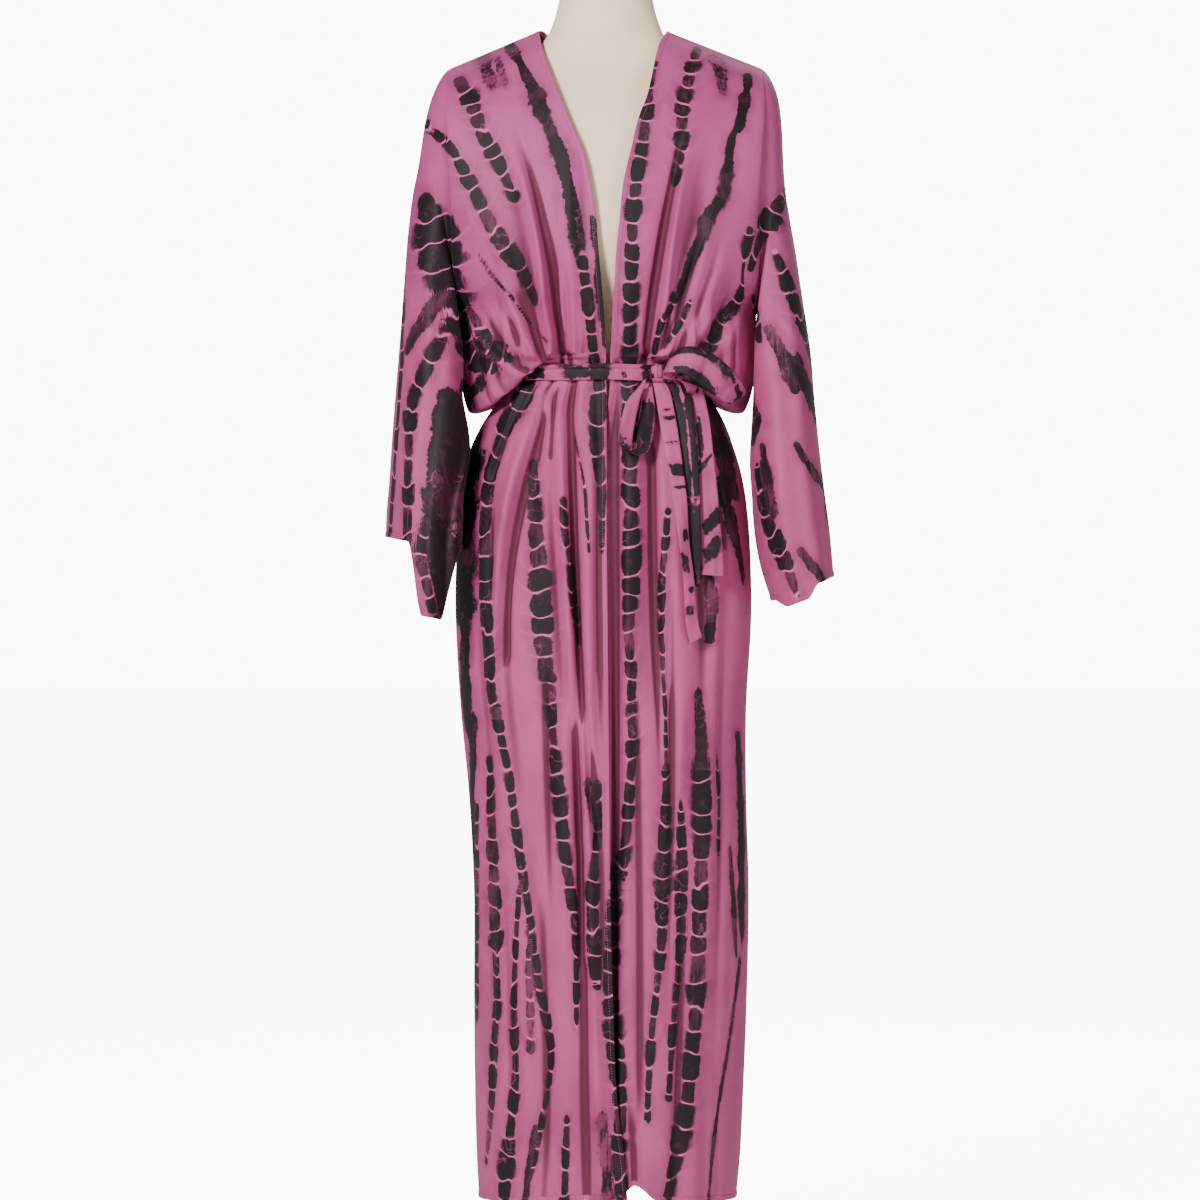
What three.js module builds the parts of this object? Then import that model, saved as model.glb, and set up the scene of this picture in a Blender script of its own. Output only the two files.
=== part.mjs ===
// Kimono cover-up with its tie belt, on a limbless dress form. Millimetres.
// X is to the viewer's right, the front faces -Y, Z is up, and the base stands on Z = 0.
import * as THREE from 'three';

// Cloth
const WALL = 1.5;
const SEAM_HALF_GAP = 0.2;
const ARMHOLE_GAP = 0.5;
const UNDERARM_ROW = 10;
const BELT_TOP_ROW = 17;
const FRONT_FINE = 6;
const FRONT_STEPS = 24;
const BACK_STEPS = 26;
const SLEEVE_STEPS = 24;

// A row for each level of the body, from the shoulder ridge down to the hem.
// z and sideZ are the heights at the middle and at the side, ease bends the fall between them.
// left and right are half widths, front and back are depths, armFront and armBack the side edges.
// edgeLeft and edgeRight are where the two front edges run, n is how square the section is.
const LEVEL_COLUMNS = [
  'z', 'sideZ', 'ease', 'left', 'right', 'front', 'back', 'armFront', 'armBack',
  'edgeLeft', 'edgeRight', 'n',
];
const LEVELS = [
  [1515, 1470, 0, 187, 187, 0, 0, 0, 0, -81, 73, 2.0],
  [1494, 1453, 0, 189, 189, 37, 70, 20, 20, -77, 63, 2.2],
  [1462, 1428, 0, 190, 190, 66, 84, 38, 36, -67, 56, 2.3],
  [1430, 1402, 0, 191, 189, 88, 92, 50, 48, -55, 49, 2.4],
  [1400, 1376, 0, 190, 187, 101, 97, 57, 56, -43, 38, 2.4],
  [1362, 1344, 0, 188, 185, 112, 102, 61, 60, -27, 29, 2.4],
  [1322, 1310, 0, 186, 183, 120, 104, 61, 60, -18, 20, 2.4],
  [1282, 1274, 0, 184, 182, 124, 102, 57, 56, -12, 16, 2.3],
  [1244, 1238, 0, 183, 182, 125, 99, 46, 46, -9, 12, 2.3],
  [1210, 1203, 0, 182, 182, 122, 97, 27, 27, -6, 10, 2.2],
  [1186, 1174, 0, 181, 181, 118, 95, 0, 0, -4, 8, 2.2],
  [1160, 1138, 1, 179, 181, 110, 94, 0, 0, -2, 7, 2.2],
  [1138, 1100, 1, 176, 180, 102, 93, 0, 0, -1, 6, 2.2],
  [1127, 1056, 1, 165, 166, 95, 92, 0, 0, 0, 5, 2.1],
  [1123, 1068, 1, 147, 146, 92, 89, 0, 0, 0, 5, 2.1],
  [1120, 1096, 1, 134, 133, 90, 86, 0, 0, 0, 5, 2.0],
  [1117, 1117, 0, 126, 126, 88, 84, 0, 0, 0, 5, 2.0],
  [1110, 1110, 0, 118, 118, 84, 80, 0, 0, 0, 5, 2.0],
  [1092, 1092, 0, 118, 118, 84, 80, 0, 0, 0, 5, 2.0],
  [1078, 1078, 0, 126, 123, 87, 84, 0, 0, 1, 4, 2.0],
  [1060, 1060, 0, 137, 134, 90, 90, 0, 0, 1, 2, 2.0],
  [1038, 1038, 0, 151, 145, 94, 98, 0, 0, 1, 0, 2.0],
  [1010, 1010, 0, 164, 155, 99, 106, 0, 0, 1, -4, 2.0],
  [978, 978, 0, 171, 164, 104, 112, 0, 0, 1, -5, 2.0],
  [940, 940, 0, 174, 170, 108, 117, 0, 0, 1, -6, 2.0],
  [885, 885, 0, 177, 174, 111, 121, 0, 0, 1, -6, 2.0],
  [805, 805, 0, 178, 174, 114, 124, 0, 0, 2, -6, 2.0],
  [700, 700, 0, 172, 166, 117, 125, 0, 0, 3, -5, 2.0],
  [595, 595, 0, 163, 165, 119, 126, 0, 0, 4, -4, 2.0],
  [480, 480, 0, 158, 168, 122, 127, 0, 0, 5, -3, 2.0],
  [360, 360, 0, 158, 166, 124, 128, 0, 0, 8, 0, 2.0],
  [255, 253, 0, 157, 163, 126, 129, 0, 0, 12, 4, 2.0],
  [174, 168, 0, 155, 160, 128, 130, 0, 0, 21, 13, 2.0],
  [123, 113, 0, 152, 155, 130, 131, 0, 0, 25, 22, 2.0],
];

// A row for each large fold: its height range, its path across the front in X, its half width,
// how far it stands out, and how much sharper its right side is.
const FOLD_COLUMNS = [
  'side', 'zTop', 'zBottom', 'xTop', 'xMiddle', 'xBottom', 'width', 'height', 'skew',
];
const FOLDS = [
  ['left', 1400, 1118, -98, -72, -58, 14, 9, 0.5],
  ['left', 1430, 1118, -55, -45, -46, 10, 5, 0.3],
  ['left', 1330, 1118, -140, -112, -84, 13, 8, 0.3],
  ['left', 1250, 1118, -28, -26, -24, 9, 4, 0],
  ['right', 1440, 1118, 90, 70, 54, 14, 9, -0.5],
  ['right', 1380, 1118, 130, 108, 76, 13, 8, -0.3],
  ['right', 1300, 1118, 160, 130, 100, 13, 6, -0.3],
  ['right', 1250, 1118, 30, 28, 26, 9, 4, 0],
  ['left', 1092, 800, -66, -100, -116, 15, 11, 0.4],
  ['left', 1092, 560, -54, -58, -50, 9, 8, 0.7],
  ['left', 1092, 120, -30, -28, -20, 17, 8, -0.5],
  ['left', 900, 300, -150, -116, -86, 13, 8, 0.4],
  ['left', 700, 112, -60, -48, -38, 15, 7, 0.2],
  ['left', 620, 112, -104, -96, -100, 17, 7, 0],
  ['left', 1092, 900, -92, -120, -140, 10, 6, 0],
  ['right', 1092, 560, 34, 52, 60, 14, 9, -0.4],
  ['right', 1092, 480, 78, 92, 86, 12, 8, 0.5],
  ['right', 1092, 760, 96, 124, 136, 11, 7, 0],
  ['right', 760, 112, 58, 62, 52, 20, 7, 0],
  ['right', 640, 112, 112, 108, 104, 20, 6, 0],
];
const BACK_FOLDS = [
  ['back', 1420, 1118, -120, -92, -70, 15, 8, 0],
  ['back', 1460, 1118, -40, -34, -26, 14, 5, 0],
  ['back', 1450, 1118, 44, 36, 30, 14, 6, 0],
  ['back', 1400, 1118, 124, 98, 76, 15, 8, 0],
  ['back', 1092, 600, -70, -104, -112, 16, 10, 0],
  ['back', 1092, 112, -34, -44, -52, 18, 9, 0],
  ['back', 1092, 112, 4, 6, 10, 18, 9, 0],
  ['back', 1092, 112, 40, 56, 64, 18, 9, 0],
  ['back', 1092, 500, 78, 108, 118, 16, 10, 0],
];
const GATHERS = {
  frontWaves: 7, backWaves: 9, depth: 2.6, fadeAbove: 60, fadeBelow: 70, z: 1101,
};
const UNDERLAP = {depth: 9, width: 16, top: 1088, full: 1020};
const HEM_CORNER = {x: 36, width: 14, lift: 17};
const BACK_NECK = {half: 76, depth: 66, dip: 14, fadeRows: 1.6};

// A row for each ring of a sleeve, from the armhole to the cuff: the upper outside point, the
// underarm point with how far forward it hangs, the depths, and how far the front drops.
// lean draws the front of the underarm in towards the body.
const RING_COLUMNS = ['outX', 'outZ', 'inX', 'inZ', 'inY', 'front', 'back', 'drop', 'lean'];
const RIGHT_RINGS = [
  [188, 1467, 183, 1174, 0, 60, 60, 0, 0],
  [202, 1459, 185, 1168, 0, 65, 64, 0, 2],
  [210, 1436, 188, 1152, 0, 70, 68, 0, 8],
  [212, 1392, 190, 1134, 0, 74, 71, 0, 18],
  [215, 1332, 190, 1112, 0, 78, 74, 0, 26],
  [221, 1290, 186, 1090, 0, 81, 77, 0, 24],
  [228, 1250, 180, 1066, 0, 84, 80, 0, 16],
  [237, 1190, 175, 1032, 0, 87, 83, 0, 8],
  [246, 1130, 173, 995, -4, 90, 86, 0, 3],
  [251, 1070, 175, 960, -8, 92, 88, 0, 2],
  [257, 1010, 177, 925, -10, 94, 90, 4, 2],
  [263, 960, 181, 893, -10, 95, 92, 8, 0],
  [269, 914, 188, 862, -8, 96, 93, 12, 0],
  [274, 866, 199, 829, -4, 97, 94, 14, 0],
];
const LEFT_RINGS = [
  [188, 1467, 182, 1174, 0, 60, 60, 0, 0],
  [204, 1459, 185, 1168, 0, 66, 63, 0, 2],
  [213, 1434, 187, 1152, 0, 72, 66, 0, 10],
  [219, 1396, 188, 1134, 0, 77, 69, 0, 24],
  [226, 1350, 188, 1110, 0, 82, 72, 0, 34],
  [233, 1314, 186, 1086, 0, 86, 74, 2, 38],
  [239, 1262, 182, 1060, -8, 90, 76, 6, 32],
  [244, 1195, 177, 1032, -22, 93, 78, 14, 22],
  [249, 1130, 173, 1004, -36, 96, 80, 26, 12],
  [254, 1070, 170, 976, -48, 99, 81, 40, 6],
  [258, 1015, 170, 950, -56, 102, 82, 54, 0],
  [261, 970, 170, 926, -60, 104, 83, 66, 0],
  [264, 936, 171, 905, -60, 106, 84, 76, 0],
  [265, 906, 172, 889, -60, 107, 84, 86, 0],
];
// Where round the ring the front's drop begins and ends, in degrees from the top.
const DROP = {from: 66, full: 86, end: 118, gone: 160};
const SLEEVE_BLEND_ROWS = 3;
// Folds along a sleeve: the angle round the ring, its half width, its height and first ring.
const SLEEVE_FOLD_COLUMNS = ['angle', 'width', 'height', 'from'];
const RIGHT_SLEEVE_FOLDS = [
  [60, 14, 6, 3],
  [104, 16, 7, 5],
  [-70, 18, 6, 4],
  [-115, 16, 6, 4],
];
const LEFT_SLEEVE_FOLDS = [
  [72, 16, 7, 2],
  [134, 17, -22, 5],
  [100, 12, 6, 5],
  [-60, 18, 7, 4],
  [-105, 16, 6, 4],
];

// Belt
const BELT = {gap: 0.8, top: 1108.8, bottom: 1092.6, steps: 44, fold: 1.2};
const RIBBON_COLUMNS = ['x', 'z', 'halfX', 'halfZ', 'halfY', 'out'];
const LEFT_LOOP = [
  [50, 1097, 2, 6, 0, 6],
  [41, 1084, 6, 7, 2, 14],
  [30, 1064, 7, 3, 3, 19],
  [25, 1040, 8, 1, 3, 20],
  [21, 1018, 8, -1, 4, 19],
  [27, 1006, 4, -2, 7, 14],
  [37, 1008, 7, -2, 4, 8],
  [43, 1032, 8, 0, 2, 6],
  [48, 1060, 7, 1, 2, 6],
  [49, 1082, 4, 2, 1, 7],
];
const RIGHT_LOOP = [
  [71, 1102, 1, 5, 1, 9],
  [79, 1112, 3, 9, 2, 21],
  [93, 1118, 3, 11, 3, 26],
  [113, 1111, 5, 11, 3, 28],
  [133, 1094, 7, 9, 4, 29],
  [149, 1076, 8, 7, 5, 29],
  [154, 1069, 7, 5, 8, 26],
  [141, 1082, 8, 7, 5, 17],
  [121, 1094, 6, 9, 3, 17],
  [98, 1101, 4, 9, 2, 17],
  [82, 1100, 3, 6, 1, 14],
];
const LONG_TAIL = [
  [61, 1090.5, 5, 0, 0.5, 7.2],
  [72, 1042, 8, 1, 2, 5],
  [81, 991, 8, 1, 1, 5],
  [87, 949, 7, 1, 2, 5],
  [91, 905, 5, 0, 4, 5],
  [97, 856, 6, 0, 4, 5],
  [101, 806, 7, 1, 3, 5],
  [106, 782, 7, 4, 2, 5],
];
const SHORT_TAIL = [
  [62, 1098, 3, 7, 1, 14.6],
  [82, 1110, 6, 10, 2, 46],
  [103, 1105, 10, 8, 2, 48],
  [115, 1084, 12, 3, 2, 45],
  [120, 1050, 13, 1, 1, 26],
  [123, 1000, 13, 0, 1, 8],
  [125, 940, 13, 0, 1, 6],
  [126, 880, 13, 0, 1, 6],
  [127, 860, 13, -1, 1, 6],
];
const KNOT = {x: 60, z: 1100, halfX: 8.5, halfZ: 10, halfY: 7, out: 7.2, power: 0.75};

// Dress form and stand
const FORM_COLUMNS = ['z', 'half', 'front', 'back'];
const FORM = [
  [804, 120, 72, 74],
  [812, 148, 88, 92],
  [860, 160, 97, 104],
  [920, 160, 98, 107],
  [980, 152, 90, 101],
  [1040, 132, 79, 88],
  [1075, 112, 72, 76],
  [1101, 107, 70, 70],
  [1130, 112, 74, 74],
  [1180, 136, 88, 82],
  [1220, 153, 104, 87],
  [1260, 163, 112, 91],
  [1310, 168, 108, 94],
  [1360, 172, 98, 93],
  [1400, 174, 86, 88],
  [1428, 172, 73, 78],
  [1448, 160, 60, 68],
  [1466, 140, 50, 62],
  [1482, 110, 47, 58],
  [1496, 73, 46, 55],
  [1512, 62, 50, 54],
  [1540, 55, 50, 52],
  [1570, 52, 50, 50],
  [1588, 52, 50, 50],
];
const FORM_STEPS = 32;
const NECK_CAP = {bottom: 1588.3, half: 53, top: 1602, edge: 5, knob: 15, knobTop: 1618};
const POLE = {radius: 17, bottom: 44.3, top: 803.7};
const BASE = {radius: 190, edge: 14, thickness: 22, collar: 30, collarTop: 44, foot: 4};

/** One table row as an object, so that every value is read by its column's name. */
function named(columns, rows) {
  return rows.map((row) => Object.fromEntries(columns.map((name, i) => [name, row[i]])));
}

const levels = named(LEVEL_COLUMNS, LEVELS);
const frontFolds = named(FOLD_COLUMNS, FOLDS);
const backFolds = named(FOLD_COLUMNS, BACK_FOLDS);

const clamp = (value, low, high) => Math.min(high, Math.max(low, value));
const mix = (a, b, t) => a + (b - a) * t;

/** A smooth step from 0 at low to 1 at high. */
function smooth(low, high, value) {
  const t = clamp((value - low) / (high - low), 0, 1);
  return t * t * (3 - 2 * t);
}

/** A table column read between its rows, on a smooth curve through them. */
function column(rows, name, at) {
  const i = clamp(Math.floor(at), 0, rows.length - 2);
  const t = at - i;
  const p1 = rows[i][name];
  const p2 = rows[i + 1][name];
  const p0 = i > 0 ? rows[i - 1][name] : 2 * p1 - p2;
  const p3 = i + 2 < rows.length ? rows[i + 2][name] : 2 * p2 - p1;
  const m1 = (p2 - p0) / 2;
  const m2 = (p3 - p1) / 2;
  const t2 = t * t;
  const t3 = t2 * t;
  return (2 * t3 - 3 * t2 + 1) * p1 + (t3 - 2 * t2 + t) * m1
    + (3 * t2 - 2 * t3) * p2 + (t3 - t2) * m2;
}

/** How far one fold stands out at a point of the front or back. */
function foldHeight(fold, x, z) {
  const reach = fold.zTop - fold.zBottom;
  const t = (fold.zTop - z) / reach;
  if (t < -0.05 || t > 1.05) return 0;
  const s = clamp(t, 0, 1);
  const path = (1 - s) * (1 - s) * fold.xTop + 2 * s * (1 - s)
    * (2 * fold.xMiddle - 0.5 * (fold.xTop + fold.xBottom)) + s * s * fold.xBottom;
  const side = Math.sign(x - path) || 1;
  const q = (x - path) / (fold.width * (1 - 0.6 * fold.skew * side));
  const above = fold.zTop > 1092 ? smooth(0, 0.6, t) : smooth(-0.05, 0.14, t);
  const below = fold.zBottom > 1092 ? 1 : fold.zBottom < 130 ? 1 : 1 - smooth(0.55, 1.05, t);
  return fold.height * above * below * Math.exp(-q * q);
}

/** A point of the body at a share of the half turn from the middle to the side. */
function bodyPoint(face, theta, v, share) {
  const read = (name) => column(levels, name, v);
  const back = face === 'back';
  const side = theta < 0 ? 'left' : 'right';
  const half = read(side);
  const n = read('n');
  const sin = Math.abs(Math.sin(theta));
  const cos = Math.max(0, Math.cos(theta));
  const across = Math.pow(sin, 2 / n);
  const x = Math.sign(theta) * half * across;
  const arm = read(back ? 'armBack' : 'armFront');
  const depth = read(back ? 'back' : 'front');
  const edge = Math.abs(read(side === 'left' ? 'edgeLeft' : 'edgeRight'));
  const slope = clamp((Math.abs(x) - edge) / (half - edge), 0, 1);
  const fall = mix(slope, smooth(0.3, 1, across), read('ease'));
  let z = mix(read('z'), read('sideZ'), fall);
  let y = arm + (depth - arm) * Math.pow(cos, 2 / n);
  if (back && v < BACK_NECK.fadeRows) {
    const t = clamp(Math.abs(x) / BACK_NECK.half, 0, 1);
    const fade = 1 - smooth(0, BACK_NECK.fadeRows, v);
    y = mix(y, BACK_NECK.depth * Math.sqrt(1 - t * t), fade);
    z -= BACK_NECK.dip * (1 - t * t) * fade;
  }
  // Cloth does not fold at its seams, so every fold dies away towards the side.
  const sideFade = 1 - smooth(0.72, 0.97, across);
  const folds = back ? backFolds : frontFolds.filter((fold) => fold.side === face);
  let out = folds.reduce((sum, fold) => sum + foldHeight(fold, x, z), 0) * sideFade;
  const fade = z > GATHERS.z ? GATHERS.fadeAbove : GATHERS.fadeBelow;
  const waves = back ? GATHERS.backWaves : GATHERS.frontWaves;
  const bed = Math.exp(-Math.pow((z - GATHERS.z) / fade, 2));
  out += GATHERS.depth * bed * Math.cos(2 * Math.PI * waves * share) * sideFade;
  out *= smooth(0, 2, v);
  const atBelt = 1 - smooth(14, 32, Math.abs(z - GATHERS.z));
  out = mix(out, clamp(out, -GATHERS.depth, GATHERS.depth), atBelt);
  if (face === 'right') {
    const lap = smooth(-UNDERLAP.top, -UNDERLAP.full, -z);
    out -= UNDERLAP.depth * lap * (1 - smooth(8, 8 + UNDERLAP.width, x - read('edgeLeft')));
    const corner = (x - HEM_CORNER.x) / HEM_CORNER.width;
    z += HEM_CORNER.lift * Math.exp(-corner * corner) * smooth(31.5, 33, v);
  }
  const nx = sin * half > 0 ? Math.pow(across, n - 1) / half : 0;
  const ny = Math.pow(Math.max(1e-6, Math.pow(cos, 2 / n)), n - 1) / Math.max(20, depth - arm);
  const size = Math.hypot(nx, ny) || 1;
  return new THREE.Vector3(
    x + (Math.sign(theta) * nx / size) * out,
    (back ? 1 : -1) * (y + SEAM_HALF_GAP + (ny / size) * out),
    z,
  );
}

/** The angle at which a section reaches a given X. */
function angleAt(x, half, n) {
  return Math.sign(x) * Math.asin(Math.pow(clamp(Math.abs(x) / half, 0, 1), n / 2));
}

/** A point of a front, from its front edge at share 0 to its side at share 1. */
function frontPoint(face, share, v) {
  const right = face === 'right';
  const edge = column(levels, right ? 'edgeRight' : 'edgeLeft', v);
  const half = column(levels, edge < 0 ? 'left' : 'right', v);
  const start = angleAt(edge, half, column(levels, 'n', v));
  const end = right ? Math.PI / 2 : -Math.PI / 2;
  return bodyPoint(face, mix(start, end, share), v, share);
}

/** A point of the back, from the left side at share 0 to the right side at share 1. */
function backPoint(share, v) {
  return bodyPoint('back', mix(-Math.PI / 2, Math.PI / 2, share), v, share);
}

/** The vertex grid of a surface, with its outward normals. */
function surface(point, uSteps, vSteps, closed, outward, rim) {
  const across = closed ? uSteps : uSteps + 1;
  const points = [];
  for (let j = 0; j <= vSteps; j += 1) {
    for (let i = 0; i < across; i += 1) points.push(point(i / uSteps, j / vSteps));
  }
  const at = (i, j) => points[j * across + (closed ? (i + across) % across : i)];
  const normals = [];
  for (let j = 0; j <= vSteps; j += 1) {
    for (let i = 0; i < across; i += 1) {
      const i0 = closed ? i - 1 : Math.max(0, i - 1);
      const i1 = closed ? i + 1 : Math.min(across - 1, i + 1);
      const du = at(i1, j).clone().sub(at(i0, j));
      const dv = at(i, Math.min(vSteps, j + 1)).clone().sub(at(i, Math.max(0, j - 1)));
      const normal = du.cross(dv).multiplyScalar(outward);
      const flat = rim ? rim(i, j) : null;
      if (flat) normal[flat] = 0;
      normals.push(normal.normalize());
    }
  }
  return {points, normals, across};
}

/** A closed wall behind a surface, with its rims. */
function wall(name, colour, options) {
  const {point, uSteps, vSteps, closed = false, outward = 1, rim = null} = options;
  const {thickness = WALL} = options;
  const {points, normals, across} = surface(point, uSteps, vSteps, closed, outward, rim);
  const count = points.length;
  const inner = points.map((p, i) => p.clone().addScaledVector(normals[i], -thickness));
  const position = [...points, ...inner].flatMap((p) => [p.x, p.y, p.z]);
  const index = [];
  const quad = (a, b, c, d) => {
    if (outward > 0) index.push(a, b, c, a, c, d);
    else index.push(a, c, b, a, d, c);
  };
  const cells = closed ? across : across - 1;
  const id = (i, j) => j * across + (i % across);
  for (let j = 0; j < vSteps; j += 1) {
    for (let i = 0; i < cells; i += 1) {
      const [a, b, c, d] = [id(i, j), id(i + 1, j), id(i + 1, j + 1), id(i, j + 1)];
      quad(a, b, c, d);
      quad(count + a, count + d, count + c, count + b);
    }
  }
  for (let i = 0; i < cells; i += 1) {
    quad(id(i + 1, 0), id(i, 0), count + id(i, 0), count + id(i + 1, 0));
    const [a, b] = [id(i, vSteps), id(i + 1, vSteps)];
    quad(a, b, count + b, count + a);
  }
  if (!closed) {
    for (let j = 0; j < vSteps; j += 1) {
      quad(id(0, j), id(0, j + 1), count + id(0, j + 1), count + id(0, j));
      const [a, b] = [id(across - 1, j), id(across - 1, j + 1)];
      quad(b, a, count + a, count + b);
    }
  }
  return mesh(name, colour, position, index);
}

/** A closed solid from rings of points, with a flat or domed cap at each end. */
function rings(name, colour, ringList) {
  const across = ringList[0].length;
  const position = ringList.flat().flatMap((p) => [p.x, p.y, p.z]);
  const index = [];
  for (let j = 0; j < ringList.length - 1; j += 1) {
    for (let i = 0; i < across; i += 1) {
      const a = j * across + i;
      const b = j * across + ((i + 1) % across);
      index.push(a, b, b + across, a, b + across, a + across);
    }
  }
  const middle = (ring) => ring
    .reduce((sum, p) => sum.add(p), new THREE.Vector3())
    .multiplyScalar(1 / across);
  const bottom = position.length / 3;
  const top = bottom + 1;
  for (const ring of [ringList[0], ringList[ringList.length - 1]]) {
    const centre = middle(ring);
    position.push(centre.x, centre.y, centre.z);
  }
  const last = (ringList.length - 1) * across;
  for (let i = 0; i < across; i += 1) {
    const next = (i + 1) % across;
    index.push(bottom, next, i, top, last + i, last + next);
  }
  return mesh(name, colour, position, index);
}

/** A named mesh with a plain material. */
function mesh(name, colour, position, index) {
  const geometry = new THREE.BufferGeometry();
  geometry.setAttribute('position', new THREE.Float32BufferAttribute(position, 3));
  geometry.setIndex(index);
  geometry.computeVertexNormals();
  const material = new THREE.MeshStandardMaterial({color: colour, roughness: 0.8});
  const made = new THREE.Mesh(geometry, material);
  made.name = name;
  return made;
}

/** Seams lie in flat planes, so a rim's normal there keeps within its plane. */
function bodyRim(uSteps, sides) {
  return (i, j) => {
    if (j === 0) return 'y';
    if (!sides.includes(i)) return null;
    return j < UNDERARM_ROW ? 'x' : 'y';
  };
}

/** The armhole's edge, from the shoulder at 0 to the underarm at 1, front or back. */
function armholeAt(side, face, share) {
  const steps = [];
  let run = 0;
  for (let v = 0; v <= UNDERARM_ROW; v += 1) {
    const row = levels[v];
    const y = face === 'front' ? -row.armFront : row.armBack;
    const p = new THREE.Vector3(row[side], y, row.sideZ);
    if (v > 0) run += p.distanceTo(steps[v - 1].p);
    steps.push({p, run});
  }
  const goal = share * run;
  const next = Math.max(1, steps.findIndex((step) => step.run >= goal - 1e-9));
  const [a, b] = [steps[next - 1], steps[next]];
  return a.p.clone().lerp(b.p, clamp((goal - a.run) / (b.run - a.run), 0, 1));
}

/** A point of a sleeve. Turn 0 is the top of the ring, 0.25 its front and 0.5 the underarm. */
function sleevePoint(side, ringTable, foldTable, turn, v) {
  const read = (name) => column(ringTable, name, v);
  const phi = 2 * Math.PI * turn;
  const cos = Math.cos(phi);
  const sin = Math.sin(phi);
  const under = (1 - cos) / 2;
  const depth = sin > 0 ? -read('front') : read('back');
  const fullness = Math.pow(Math.abs(sin), 0.85);
  const degrees = turn > 0.5 ? turn * 360 - 360 : turn * 360;
  const dropped = smooth(DROP.from, DROP.full, degrees) * (1 - smooth(DROP.end, DROP.gone, degrees));
  const p = new THREE.Vector3(
    mix(read('outX'), read('inX'), under) - read('lean') * Math.max(0, sin) * under,
    depth * fullness + read('inY') * under,
    mix(read('outZ'), read('inZ'), under) - read('drop') * dropped,
  );
  for (const fold of foldTable) {
    const q = (degrees - fold.angle) / fold.width;
    const grown = smooth(fold.from, fold.from + 5, v);
    const out = fold.height * grown * Math.exp(-q * q);
    p.y += Math.sign(depth) * out * Math.abs(sin);
    p.x += out * 0.35 * cos;
  }
  const blend = smooth(0, SLEEVE_BLEND_ROWS, v);
  if (blend < 1) {
    const share = turn > 0.5 ? 2 - 2 * turn : 2 * turn;
    const start = armholeAt(side, turn > 0.5 ? 'back' : 'front', share);
    start.x += ARMHOLE_GAP;
    p.lerp(start, 1 - blend);
  }
  if (side === 'left') p.x = -p.x;
  return p;
}

/** The frontmost Y of the robe at a place, its belt included. */
function frontOf(x, z) {
  const face = x < 2 ? 'left' : 'right';
  let nearest = 0;
  let above = null;
  for (let k = UNDERARM_ROW * FRONT_FINE; k <= (levels.length - 1) * FRONT_FINE; k += 1) {
    const v = k / FRONT_FINE;
    const half = column(levels, x < 0 ? 'left' : 'right', v);
    const inside = Math.abs(x) < half;
    const theta = angleAt(x, half, column(levels, 'n', v));
    const p = inside ? bodyPoint(face, theta, v, 0.5) : null;
    if (p && above && (p.z - z) * (above.z - z) <= 0) nearest = Math.min(nearest, p.y, above.y);
    above = p;
  }
  const belt = Math.abs(z - (BELT.top + BELT.bottom) / 2) < 10 ? beltRing(x) : 0;
  return Math.min(nearest, belt);
}

/** The belt's outer Y at a given X. */
function beltRing(x) {
  const reach = GATHERS.depth + WALL + BELT.gap + BELT.fold;
  const row = levels[BELT_TOP_ROW];
  const t = clamp(x / (row.right + reach), -1, 1);
  return -(row.front + reach) * Math.sqrt(1 - t * t);
}

/** A stretch of ribbon that lies over the robe, from a table of its middle line. */
function ribbon(name, colour, rows, stepsEach) {
  const table = named(RIBBON_COLUMNS, rows);
  const vSteps = (table.length - 1) * stepsEach;
  const point = (u, t) => {
    const v = t * (table.length - 1);
    const read = (key) => column(table, key, v);
    const across = 2 * u - 1;
    const x = read('x') + across * read('halfX');
    const z = read('z') + across * read('halfZ');
    const reach = Math.abs(read('halfX'));
    const under = [-reach, 0, reach].map((offset) => frontOf(read('x') + offset, read('z')));
    return new THREE.Vector3(x, Math.min(...under) - read('out') + across * read('halfY'), z);
  };
  return wall(name, colour, {point, uSteps: 2, vSteps, outward: 1});
}

/** A ring of points on an oval. */
function oval(steps, halfX, halfFront, halfBack, z, power = 1) {
  return Array.from({length: steps}, (_, i) => {
    const a = (2 * Math.PI * i) / steps;
    const shape = (value) => Math.sign(value) * Math.abs(value) ** power;
    const deep = Math.sin(a) < 0 ? halfFront : halfBack;
    return new THREE.Vector3(halfX * shape(Math.cos(a)), deep * shape(Math.sin(a)), z);
  });
}

/** The belt's band, a closed ring outside the gathers with a soft fold along it. */
function beltBand(colour) {
  const row = levels[BELT_TOP_ROW];
  const reach = GATHERS.depth + WALL + BELT.gap;
  const point = (u, t) => {
    const a = 2 * Math.PI * u;
    const out = reach + BELT.fold * Math.sin(Math.PI * t) * (0.6 + 0.4 * Math.cos(9 * a));
    const deep = Math.sin(a) < 0 ? row.front : row.back;
    return new THREE.Vector3(
      (row.right + out) * Math.cos(a),
      (deep + out) * Math.sin(a),
      mix(BELT.bottom, BELT.top, t) + 0.4 * Math.sin(2 * a),
    );
  };
  return wall('belt_band', colour, {point, uSteps: BELT.steps, vSteps: 3, closed: true});
}

/** The knot, a soft lump in front of the band. */
function beltKnot(colour) {
  const across = 12;
  const up = 7;
  const y = frontOf(KNOT.x, KNOT.z) - KNOT.out;
  const ringList = [];
  for (let j = 1; j < up; j += 1) {
    const lift = -Math.cos((Math.PI * j) / up);
    const wide = Math.sin((Math.PI * j) / up) ** KNOT.power;
    const ring = oval(across, KNOT.halfX * wide, KNOT.halfY * wide, KNOT.halfY * wide, 0, 0.85);
    for (const p of ring) p.add(new THREE.Vector3(KNOT.x, y, KNOT.z + lift * KNOT.halfZ));
    ringList.push(ring);
  }
  return rings('belt_knot', colour, ringList);
}

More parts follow.
